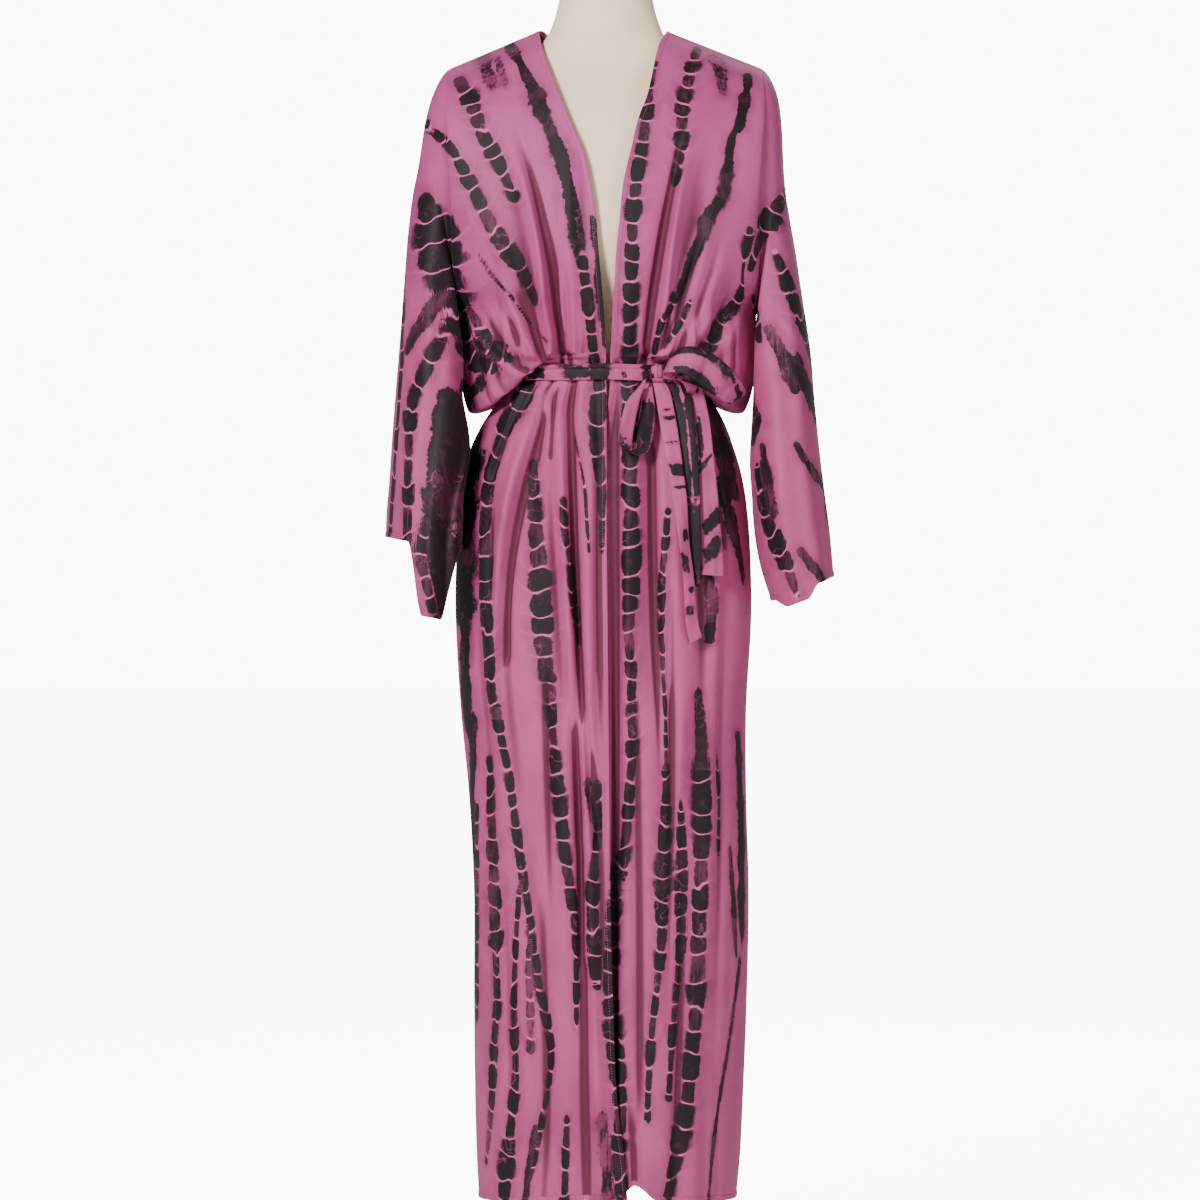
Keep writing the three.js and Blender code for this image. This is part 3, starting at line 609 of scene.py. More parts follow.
@dataclass(frozen=True)
class Stripe:
    """One line of dye.

    pitch is the height of a block and strength how full the dye is. points hold how high the
    line is, where it runs across and half its breadth, in millimetres.
    """

    dye: Dye
    pitch: float
    strength: float
    points: tuple[tuple[float, float, float], ...]

    def path(self, spacing: float = 5.0) -> Array:
        """Even steps along the line, each with its height, place across and half breadth."""
        table = Table("z x half", list(self.points))
        dense = np.linspace(0, table.last, 24 * table.last + 1)
        line = np.stack([table.read(name, dense) for name in ("z", "x", "half")], axis=-1)
        run = lengths(line[:, :2])
        even = np.linspace(0, run[-1], max(3, int(run[-1] / spacing)))
        return resample(line, run, even)


def stripes(dye: Dye, rows: list[tuple]) -> list[Stripe]:
    """Stripes of one kind, from rows of pitch, strength and points."""
    return [Stripe(dye, pitch, strength, tuple(points)) for pitch, strength, points in rows]


LADDER, RAGGED = Dye.LADDER, Dye.RAGGED

FRONT_STRIPES = [
    *stripes(RAGGED, [
        (30, 1, [(1279, -16, 3.6), (1236, -8, 6), (1190, -5, 6), (1137, -1, 4.8)]),
        (30, 1, [(1089, -151, 8.4), (1068, -168, 7.2), (1041, -173, 6)]),
        # This streak paints the recess inside the left sleeve dark: partly the sleeve's dark dye, partly
        # painted shade of the recess.
        (44, 1, [(1065, -190, 14.4), (1022, -194, 20.4), (950, -198, 21.6), (878, -196, 20.4),
         (825, -187, 14.4)]),
        (30, 0.7, [(1147, 194, 6), (1118, 209, 8.4), (1084, 223, 8.4)]),
        (30, 0.8, [(1008, 187, 4.8), (969, 190, 8.4), (936, 197, 7.2)]),
        (30, 0.8, [(1088, 113, 7.2), (1046, 122, 9.6), (998, 139, 10.8), (962, 151, 9.6)]),
        (30, 1, [(1500, -118, 7.2), (1471, -103, 7.2), (1443, -89, 7.2), (1416, -78, 12),
         (1396, -70, 6), (1370, -60, 7.2), (1339, -50, 8.4), (1304, -41, 8.4), (1262, -35, 8.4),
         (1243, -32, 6)]),
        (30, 0.7, [(1480, -146, 7.2), (1464, -142, 8.4), (1447, -137, 6)]),
        (30, 0.7, [(1476, -130, 4.8), (1449, -122, 4.8)]),
        (30, 0.6, [(1478, 132, 7.2), (1459, 136, 8.4), (1440, 139, 6)]),
        (30, 1, [(1454, 170, 6), (1399, 160, 6.6), (1380, 150, 4.8), (1352, 145, 6), (1311, 139, 7.2),
         (1278, 119, 8.4), (1242, 106, 7.2), (1215, 95, 6), (1197, 88, 5.4)]),
        (30, 1, [(1327, 216, 7.2), (1305, 221, 6)]),
        (30, 1, [(1116, 216, 4.8), (1094, 229, 9.6), (1080, 240, 7.2)]),
        (30, 0.8, [(1147, 192, 3), (1128, 206, 3.6), (1113, 218, 3.6)]),
        (30, 1, [(1080, 122, 6), (1058, 128, 8.4), (1032, 137, 9), (1005, 146, 9.6)]),
        (30, 1, [(1046, 146, 3), (1012, 158, 4.8), (979, 168, 4.8)]),
        (30, 1, [(981, 145, 12), (957, 140, 13.2), (936, 146, 8.4), (918, 151, 7.2), (892, 158, 4.8),
         (854, 164, 3.6)]),
        (30, 0.9, [(854, 122, 6), (823, 126, 7.2), (789, 122, 6)]),
        (30, 1, [(1070, 179, 7.2), (1046, 181, 8.4), (1022, 175, 4.8)]),
        (30, 1, [(967, 263, 3.6), (936, 266, 4.8), (914, 268, 2.4)]),
        (30, 0.9, [(885, 233, 4.8), (868, 246, 7.2), (854, 257, 4.8)]),
        # This broad streak also paints the recess inside the left sleeve dark: partly dark dye, partly
        # painted shade of the recess.
        (40, 1, [(1075, -173, 19.2), (1034, -175, 28.8), (974, -178, 33.6), (902, -178, 32.4),
         (825, -175, 24)]),
        (30, 0.8, [(1195, -187, 6), (1178, -204, 9.6), (1147, -226, 8.4), (1130, -236, 6)]),
        (30, 1, [(850, -166, 7), (782, -170, 8), (722, -168, 9), (674, -163, 8)]),
        (34, 1, [(691, -158, 6), (590, -160, 4.8), (494, -158, 4.8), (422, -156, 3.6)]),
        (30, 0.9, [(1111, 229, 7.2), (1080, 240, 9.6), (1051, 251, 7.2)]),
        (30, 0.9, [(1010, 228, 4.8), (988, 242, 6), (969, 257, 4.8)]),
        (30, 1, [(974, 260, 4.8), (932, 264, 4.8)]),
        (36, 1, [(722, 110, 4.8), (674, 112, 6), (633, 113, 8.4)]),
        (36, 1, [(664, 158, 4.8), (590, 161, 5.4), (506, 162, 6), (422, 163, 3.6)]),
        (30, 0.8, [(530, 148, 2.4), (470, 152, 3), (410, 155, 2.4)]),
        (26, 0.9, [(404, 161, 2.4), (312, 148, 2.4), (211, 131, 2.4), (115, 121, 2.4)]),
        (30, 0.5, [(614, -22, 6), (576, -17, 6)]),
        (30, 0.5, [(218, -5, 6), (170, 0, 7.2), (122, 2, 7.2)]),
        (26, 0.9, [(206, -84, 3.6), (158, -91, 4.2), (115, -96, 3.6)]),
    ]),
    *stripes(LADDER, [
        (23, 1, [(1236, -29, 7.2), (1195, -23, 7.2), (1154, -18, 7.8), (1116, -14, 7.2)]),
        (19, 1, [(1447, -173, 9.6), (1416, -158, 12), (1382, -146, 9.6), (1347, -127, 9.6),
         (1308, -110, 7.2)]),
        (25, 1, [(1396, -215, 7.2), (1371, -188, 7.2), (1339, -169, 8.4), (1305, -152, 8.4),
         (1278, -139, 10.8), (1248, -120, 10.8), (1222, -101, 9.6), (1188, -85, 8.4)]),
        (24, 1, [(1234, -148, 1.9), (1210, -132, 2), (1188, -112, 2.2), (1158, -90, 1.9),
         (1138, -72, 1.7)]),
        (31, 1.2, [(1300, -214, 13.2), (1276, -206, 24), (1248, -199, 31.2),
         (1214, -191, 32.4), (1185, -181, 26.4), (1156, -173, 15.6), (1137, -166, 9.6)]),
        (22, 1.2, [(1130, -146, 14.4), (1123, -125, 16.8), (1114, -104, 12)]),
        (24, 1, [(1172, -161, 7.2), (1152, -150, 9.6), (1132, -139, 8.4)]),
        (26, 1, [(1130, -168, 13.2), (1116, -149, 15.6), (1104, -127, 12)]),
        (30, 1, [(1142, -194, 8.4), (1123, -204, 10.8), (1099, -216, 13.2), (1070, -228, 10.8),
         (1034, -233, 9.6), (986, -234, 9.6), (907, -235, 9.6)]),
        (30, 1, [(1327, -235, 4.8), (1262, -240, 4.8), (1190, -242, 4.8), (1106, -245, 4.8),
         (1022, -250, 4.8), (914, -257, 4.8)]),
        (26, 1, [(914, -211, 9.6), (883, -218, 10.8), (849, -211, 8.4), (823, -204, 6)]),
        (24, 1, [(1464, 54, 8.4), (1399, 47, 8.4), (1339, 38, 9.6), (1284, 32, 9), (1216, 30, 8.4),
         (1116, 28, 7.8)]),
        (20, 0.9, [(1488, 109, 7.2), (1459, 101, 9.6), (1418, 91, 10.8), (1370, 89, 8.4),
         (1327, 83, 6)]),
        (22, 1, [(1184, 80, 6), (1159, 67, 6.6), (1140, 60, 4.8), (1118, 56, 4.8)]),
        (24, 1, [(1180, 98, 4.2), (1158, 88, 4.8), (1140, 76, 4.2)]),
        (26, 1, [(1320, 216, 8.4), (1297, 204, 13.2), (1275, 191, 12), (1250, 180, 7.2),
         (1228, 173, 4.8)]),
        (28, 1, [(1264, 170, 6), (1248, 167, 6), (1220, 162, 2.4), (1200, 161, 3.6), (1179, 152, 8.4),
         (1160, 134, 7.2), (1136, 125, 7.2)]),
        (28, 1, [(1240, 202, 6), (1219, 211, 8.4), (1194, 221, 10.8), (1164, 233, 9.6), (1135, 242, 6),
         (1104, 247, 4.8)]),
        (26, 1, [(1190, 175, 3.6), (1168, 180, 4.8), (1144, 181, 4.8)]),
        (26, 1, [(986, 180, 4.8), (938, 188, 8.4), (904, 199, 9.6), (864, 216, 8.4), (840, 224, 6)]),
        (28, 1, [(1291, 238, 4.8), (1190, 247, 3.6), (1070, 254, 4.8), (974, 264, 4.8),
         (878, 274, 4.8)]),
        (30, 1, [(1089, -94, 9.6), (1068, -101, 10.8), (1041, -120, 10.8), (1008, -130, 9.6),
         (975, -139, 9), (939, -143, 8.4), (898, -145, 8.4), (859, -144, 8.4), (811, -143, 8.4),
         (766, -140, 8.4), (722, -137, 8.4), (696, -131, 7.2)]),
        (24, 1, [(696, -131, 7.2), (655, -122, 6), (619, -115, 5.4), (513, -100, 5.4), (446, -89, 4.8),
         (386, -82, 6), (312, -66, 5.4), (264, -67, 4.8), (177, -83, 4.8), (146, -90, 3.6)]),
        (27, 1, [(988, -86, 6), (955, -85, 8.4), (915, -84, 9.6), (883, -80, 12), (843, -78, 13.2),
         (811, -76, 13.2), (782, -74, 12), (758, -72, 9.6), (726, -68, 9.6), (690, -65, 7.2),
         (662, -62, 7.2), (626, -59, 8.4), (588, -55, 8.4), (534, -49, 8.4), (487, -42, 8.4),
         (446, -36, 7.2), (398, -35, 4.8), (326, -35, 3.6)]),
        (24, 0.9, [(944, -50, 4.8), (907, -48, 5.4), (874, -42, 5.4), (842, -40, 6), (811, -36, 5.4),
         (782, -32, 3.6)]),
        (34, 0.9, [(1022, -37, 1.6), (967, -26, 1.9), (927, -23, 1.9), (886, -20, 1.4)]),
        (36, 1, [(1089, -8, 9), (1052, -10, 9), (1012, -11, 8.4), (967, -6, 6), (931, -5, 4.8),
         (888, -5, 3)]),
        (25, 1, [(1089, 28, 9.6), (1040, 28, 9.6), (984, 28, 10.8), (943, 29, 11.4), (907, 30, 11.4),
         (871, 30, 11.4), (835, 29, 10.8), (802, 26, 9.6), (775, 28, 9), (742, 30, 8.4),
         (710, 30, 7.8), (661, 31, 7.8), (607, 28, 7.8), (560, 24, 7.8), (513, 17, 8.4),
         (480, 11, 8.4)]),
        (30, 1, [(609, -10, 4.8), (561, -10, 6), (513, -14, 7.2), (466, -16, 9.6), (420, -13, 10.8),
         (386, -11, 7.2)]),
        (27, 1, [(480, 11, 9.6), (422, 6, 10.8), (379, 4, 10.8), (325, 8, 10.8), (271, 14, 10.8),
         (224, 17, 10.8), (177, 14, 10.8), (134, 18, 9.6)]),
        (24, 1, [(932, 73, 4.8), (895, 70, 5), (859, 66, 5.4), (826, 65, 4.8), (794, 65, 4.2),
         (746, 67, 3.6), (698, 70, 3.1), (642, 71, 3.1)]),
        (28, 1, [(632, 71, 4.8), (590, 71, 7.2), (547, 70, 8.4), (504, 67, 10.2), (456, 66, 10.2),
         (416, 65, 8.4), (374, 60, 5.4), (319, 54, 5.4), (258, 50, 4.8), (220, 49, 3.6)]),
        (26, 1, [(590, 88, 3.6), (542, 89, 6), (511, 89, 8.4), (466, 88, 9.6), (420, 88, 8.4),
         (379, 84, 5.4), (319, 79, 4.8), (244, 74, 4.2)]),
        (29, 1, [(633, 113, 9.6), (588, 114, 12), (534, 113, 12), (493, 112, 12), (453, 110, 12),
         (405, 109, 11.4), (345, 106, 10.8), (285, 101, 9.6), (224, 94, 9.6), (177, 84, 9.6),
         (130, 74, 8.4)]),
        (27, 1, [(638, -138, 4.8), (590, -137, 7.2), (560, -136, 9.6), (513, -134, 10.8),
         (480, -133, 12), (433, -132, 11.4), (396, -131, 7.2), (350, -130, 6), (319, -132, 6.6),
         (271, -134, 6), (211, -138, 4.8), (160, -143, 3.6)]),
        (26, 1, [(482, -103, 3.6), (405, -108, 4.8), (325, -109, 6), (271, -107, 6), (204, -113, 7.2),
         (151, -119, 9.6), (117, -121, 9.6)]),
        (24, 0.7, [(422, -92, 4.8), (362, -90, 6), (302, -89, 5.4)]),
        (26, 1, [(218, -46, 4.8), (170, -48, 6), (122, -49, 6)]),
        (28, 1, [(590, -154, 3.6), (506, -155, 4.8), (410, -155, 4.8), (326, -155, 3.6)]),
        (26, 0.9, [(638, 132, 2.4), (590, 134, 3.1), (530, 133, 2.6)]),
    ]),
]
BACK_STRIPES = [
    *stripes(RAGGED, [
        (30, 1, [(1490, -103, 7.2), (1442, -89, 8.4), (1370, -70, 8.4), (1286, -49, 7.2),
         (1190, -34, 6), (1118, -22, 6)]),
        (30, 0.8, [(1478, 113, 7.2), (1442, 118, 7.2)]),
        (30, 1, [(1435, 101, 6), (1370, 94, 8.4), (1286, 79, 7.2), (1202, 65, 7.2), (1116, 53, 6)]),
        (32, 1, [(1310, -173, 9.6), (1238, -161, 10.8), (1166, -137, 8.4)]),
        (34, 0.9, [(926, -146, 7.2), (782, -144, 8.4), (590, -137, 6), (422, -130, 4.8)]),
        (40, 1, [(1046, -223, 12), (974, -226, 14.4), (902, -218, 10.8)]),
        (30, 0.9, [(1130, 221, 7.2), (1070, 233, 9.6), (1022, 240, 7.2)]),
        (30, 0.9, [(782, 161, 6), (638, 164, 7.2), (494, 162, 6)]),
        (30, 0.8, [(470, -29, 3.6), (350, -26, 4.8), (230, -31, 3.6)]),
        (30, 0.9, [(1010, -172, 6), (860, -181, 9), (700, -175, 7), (560, -163, 5)]),
        (30, 0.9, [(600, 170, 5), (440, 172, 8), (300, 168, 6), (180, 163, 4)]),
    ]),
    *stripes(LADDER, [
        (27, 1, [(560, -164, 7), (420, -160, 10), (280, -158, 10), (140, -155, 8)]),
        (27, 1, [(1000, 158, 7), (885, 174, 10), (760, 173, 10), (620, 169, 8)]),
        (24, 1, [(1464, -127, 10.8), (1358, -98, 10.8), (1238, -70, 10.8), (1142, -53, 9.6),
         (1116, -48, 8.4)]),
        (25, 1, [(1483, 29, 9.6), (1358, 22, 10.8), (1214, 14, 9.6), (1116, 12, 8.4)]),
        (23, 1, [(1454, 132, 10.8), (1346, 113, 10.8), (1238, 94, 9.6), (1130, 70, 8.4)]),
        (28, 1, [(1310, 175, 14.4), (1250, 166, 18), (1190, 156, 14.4), (1136, 139, 10.8)]),
        (28, 1, [(1370, -199, 10.8), (1310, -190, 10.8), (1202, -168, 10.8), (1130, -144, 12)]),
        (25, 1, [(1087, -55, 9.6), (986, -79, 10.8), (830, -94, 12), (686, -91, 12), (518, -70, 10.8),
         (398, -55, 10.8), (254, -60, 9.6), (115, -77, 9.6)]),
        (26, 1, [(1087, 10, 9.6), (926, 17, 12), (758, 10, 12), (590, -2, 10.8), (470, -7, 9.6),
         (302, 5, 10.8), (115, 12, 10.8)]),
        (24, 1, [(1087, 60, 9.6), (986, 86, 10.8), (830, 103, 10.8), (686, 101, 12), (494, 84, 10.8),
         (350, 77, 9.6), (115, 96, 9.6)]),
        (22, 0.9, [(902, -36, 6), (758, -31, 7.2), (590, -24, 6)]),
        (28, 1, [(986, 142, 7.2), (830, 149, 10.8), (638, 142, 10.8), (446, 132, 9.6), (230, 137, 8.4)]),
        (24, 0.9, [(566, 43, 6), (422, 41, 8.4), (254, 48, 7.2)]),
        (27, 1, [(710, -127, 6), (542, -122, 9.6), (374, -127, 9.6), (206, -120, 7.2)]),
        (27, 1, [(1334, -216, 8.4), (1250, -223, 10.8), (1166, -230, 10.8), (1070, -238, 9.6),
         (950, -245, 9.6)]),
        (27, 1, [(1382, 216, 8.4), (1286, 223, 10.8), (1190, 233, 10.8), (1070, 242, 9.6),
         (926, 252, 9.6)]),
        (25, 1, [(1070, 187, 8.4), (998, 194, 10.8), (902, 206, 9.6)]),
        (25, 1, [(1154, -192, 8.4), (1070, -199, 10.8), (986, -206, 9.6)]),
        (28, 1, [(878, -166, 6), (734, -168, 7.2), (590, -158, 6), (446, -154, 6)]),
    ]),
]


class Rim(Enum):
    """Which rim of a cloth a hem runs along."""

    FRONT = "front"
    BOTTOM = "bottom"


@dataclass
class Cloth:
    """A worked-out grid of cloth: its points and what its dye reads from them.

    depth_share is how much depth counts beside width where a line of dye is laid. dye holds, for
    each point, how far it is from its line in half breadths, how far along that line, and the
    kind of dye; look holds the line's pitch, strength and seed.
    """

    points: Array
    closed: bool = False
    depth_share: float = 0.42
    plain_pitch: float = 24.0

    def __post_init__(self) -> None:
        """Measures the cloth along its two ways."""
        self.rows, self.across = self.points.shape[:2]
        self.run = lengths(self.points, 1)
        self.fall = lengths(self.points, 0)
        self.dye = np.zeros((self.rows, self.across, 3))
        self.dye[..., 0] = UNDYED
        self.look = np.zeros((self.rows, self.across, 3))
        self.look[..., 0] = self.plain_pitch

    def paint(self, table: list[Stripe], side: float) -> None:
        """Lays lines of dye on the cloth.

        Args:
            table: the lines, as the robe shows them from one side.
            side: -1 where that is the front, 1 where it is the back.
        """
        flat = self.points.reshape(-1, 3) * (1.0, self.depth_share, 1.0)
        dye, look = self.dye.reshape(-1, 3), self.look.reshape(-1, 3)
        for number, stripe in enumerate(table):
            line = stripe.path()
            margin = 3.2 * line[:, 2].max() + 6
            low, high = line.min(axis=0) - margin, line.max(axis=0) + margin
            inside = (flat[:, 2] > low[0]) & (flat[:, 2] < high[0])
            inside &= (flat[:, 0] > low[1]) & (flat[:, 0] < high[1])
            near = np.flatnonzero(inside)
            seen = near[flat[near, 1] * side > -3]
            if len(seen) == 0:
                continue
            held = flat[near]
            across = (flat[seen, 2] - line[:, :1]) ** 2 + (flat[seen, 0] - line[:, 1:2]) ** 2
            deep = flat[seen[across.argmin(axis=1)], 1]
            deep = np.convolve(np.pad(deep, 2, mode="edge"), np.ones(5) / 5, mode="valid")
            spine = np.stack([line[:, 1], deep, line[:, 0]], axis=-1)
            tangent = np.gradient(spine, axis=0)
            tangent /= np.linalg.norm(tangent, axis=1)[:, None]
            apart = (spine**2).sum(axis=1) - 2 * held @ spine.T
            k = apart.argmin(axis=1)
            away = held - spine[k]
            slide = np.clip((away * tangent[k]).sum(axis=1), -4, 4)
            off = np.linalg.norm(away - slide[:, None] * tangent[k], axis=1) / line[k, 2]
            nearer = off < dye[near, 0]
            run = lengths(spine)[k] + slide
            chosen = near[nearer]
            dye[chosen, 0] = off[nearer]
            dye[chosen, 1] = run[nearer]
            dye[chosen, 2] = stripe.dye.value
            look[chosen] = (stripe.pitch, stripe.strength, 1.37 * number)

    def normals(self, facing: int) -> Array:
        """The cloth's outward direction at each point.

        Args:
            facing: 1 where the grid already faces out, else -1.

        Returns:
            The directions, each of length one.
        """
        found = np.cross(np.gradient(self.points, axis=1), np.gradient(self.points, axis=0))
        found = facing * found / np.maximum(np.linalg.norm(found, axis=2)[..., None], 1e-9)
        if self.closed:
            found[:, 0] = found[:, -1] = found[:, 0] + found[:, -1]
            found[:, 0] /= np.linalg.norm(found[:, 0], axis=1)[:, None]
            found[:, -1] = found[:, 0]
        return found

    def crease_depths_for_shade(self, facing: int, reach: float = 9.0) -> Array:
        """How deep each point lies between its neighbours to both sides, which the cloth's colour turns
        into painted crease shade.

        Args:
            facing: 1 where the grid already faces out, else -1.
            reach: how far off those neighbours are, in millimetres.

        Returns:
            The depth, in millimetres.
        """
        step = max(float(self.run[:, -1].mean()) / (self.across - 1), 1e-3)
        shift = int(np.clip(round(reach / step), 1, self.across // 4))
        pad = [(0, 0), (shift, shift), (0, 0)]
        if self.closed:
            wide = np.pad(self.points[:, :-1], pad, mode="wrap")
            wide = np.concatenate([wide, wide[:, 2 * shift:2 * shift + 1]], axis=1)
        else:
            wide = np.pad(self.points, pad, mode="reflect", reflect_type="odd")
        middle = (wide[:, :-2 * shift] + wide[:, 2 * shift:]) / 2
        return ((middle - self.points) * self.normals(facing)).sum(axis=2)

    def hem(self, rim: Rim, insets: Array, lifts: Array, facing: int) -> "Cloth":
        """A narrow strip of this cloth, turned up along one of its rims.

        Args:
            rim: which rim.
            insets: how far in from the rim each line of the strip lies, in millimetres.
            lifts: how far each line stands out from the cloth.
            facing: 1 where the grid already faces out, else -1.

        Returns:
            The strip, with the dye of the cloth under it.
        """
        stack = np.concatenate([self.points, self.normals(facing), self.dye, self.look], axis=2)
        if rim is Rim.BOTTOM:
            stack = stack[::-1].swapaxes(0, 1)
        deep = lengths(stack[..., :3], 1)
        made = np.stack([resample(row, run, insets) for row, run in zip(stack, deep)])
        strip = Cloth(made[..., :3] + made[..., 3:6] * lifts[None, :, None])
        strip.dye, strip.look = made[..., 6:9], made[..., 9:12]
        return strip

    def build(self, name: str, outward: int, thickness: float = CLOTH) -> bpy.types.Object:
        """Makes the cloth's object.

        Args:
            name: the piece's name.
            outward: 1 where the grid already faces out, else -1.
            thickness: how thick the cloth is, in millimetres.

        Returns:
            The finished piece.
        """
        bm, place = grid_mesh(self.points)
        uv = bm.loops.layers.uv.new("cloth")
        dye = bm.verts.layers.float_vector.new("dye")
        look = bm.verts.layers.float_vector.new("look")
        # Painted shade: the depth between neighbours is stored for the colour, which darkens the pink in
        # creases and troughs.
        hollow = bm.verts.layers.float.new("hollow")
        depth = self.crease_depths_for_shade(outward)
        for vert in bm.verts:
            cell = place[vert.index]
            vert[dye] = self.dye[cell]
            vert[look] = self.look[cell]
            vert[hollow] = depth[cell]
        for face in bm.faces:
            face.smooth = True
            for loop in face.loops:
                cell = place[loop.vert.index]
                loop[uv].uv = (self.run[cell] * MM, self.fall[cell] * MM)
        if self.closed:
            bmesh.ops.remove_doubles(bm, verts=bm.verts, dist=1e-6)
        if outward < 0:
            bmesh.ops.reverse_faces(bm, faces=bm.faces)
        piece = finish_mesh(bm, name)
        wall = piece.modifiers.new("wall", "SOLIDIFY")
        wall.thickness = thickness * MM
        wall.offset = -1.0
        return piece


def finish_mesh(bm: bmesh.types.BMesh, name: str) -> bpy.types.Object:
    """Turns a bmesh into a piece at the origin.

    Args:
        bm: the shape, in metres, which is freed.
        name: the piece's name.

    Returns:
        The new object, in the scene.
    """
    mesh = bpy.data.meshes.new(name)
    bm.to_mesh(mesh)
    bm.free()
    piece = bpy.data.objects.new(name, mesh)
    bpy.context.scene.collection.objects.link(piece)
    return piece


def grid_mesh(points: Array) -> tuple[bmesh.types.BMesh, dict[int, tuple[int, int]]]:
    """Makes a mesh through a grid of points.

    Args:
        points: the points, in millimetres, a row for each step down.

    Returns:
        The mesh, in metres, and the row and column of each of its vertices.
    """
    rows, across = points.shape[0] - 1, points.shape[1] - 1
    bm = bmesh.new()
    bmesh.ops.create_grid(bm, x_segments=across, y_segments=rows, size=0.5)
    place = {}
    for vert in bm.verts:
        cell = round((vert.co.y + 0.5) * rows), round((vert.co.x + 0.5) * across)
        place[vert.index] = cell
        vert.co = points[cell] * MM
    return bm, place


def grid(point: Callable[[Array, Array], Array], across: int, rows: int) -> Array:
    """Points of a surface on an even grid.

    Args:
        point: the surface, from shares across and down.
        across: how many steps across.
        rows: how many steps down.

    Returns:
        The points, a row for each step down.
    """
    u, t = np.meshgrid(np.linspace(0, 1, across + 1), np.linspace(0, 1, rows + 1))
    return point(u, t)


class Value:
    """A shader socket that takes part in Python maths."""

    def __init__(self, shop: "Shop", socket: bpy.types.NodeSocket) -> None:
        """Keeps the socket and the shop that adds nodes."""
        self.shop = shop
        self.socket = socket

    def math(self, operation: str, *others: "Value | float") -> "Value":
        """One Math node on this value and others."""
        return self.shop.math(operation, self, *others)

    def __add__(self, other: "Value | float") -> "Value":
        """The sum."""
        return self.math("ADD", other)

    def __sub__(self, other: "Value | float") -> "Value":
        """The difference."""
        return self.math("SUBTRACT", other)

    def __rsub__(self, other: float) -> "Value":
        """A number less this value."""
        return self.shop.math("SUBTRACT", other, self)

    def __mul__(self, other: "Value | float") -> "Value":
        """The product."""
        return self.math("MULTIPLY", other)

    def __truediv__(self, other: "Value | float") -> "Value":
        """The quotient."""
        return self.math("DIVIDE", other)

    __radd__ = __add__
    __rmul__ = __mul__

    def floor(self) -> "Value":
        """The whole part."""
        return self.math("FLOOR")

    def fract(self) -> "Value":
        """What is left over the whole part."""
        return self.math("FRACT")

    def least(self, other: "Value | float") -> "Value":
        """The smaller of the two."""
        return self.math("MINIMUM", other)

    def most(self, other: "Value | float") -> "Value":
        """The larger of the two."""
        return self.math("MAXIMUM", other)

    def step(self, low: float, high: float) -> "Value":
        """A smooth step from 0 at low to 1 at high."""
        settings = {"interpolation_type": "SMOOTHSTEP"}
        inputs = {"Value": self, "From Min": low, "From Max": high}
        return self.shop.value(self.shop.node("ShaderNodeMapRange", settings, inputs), "Result")


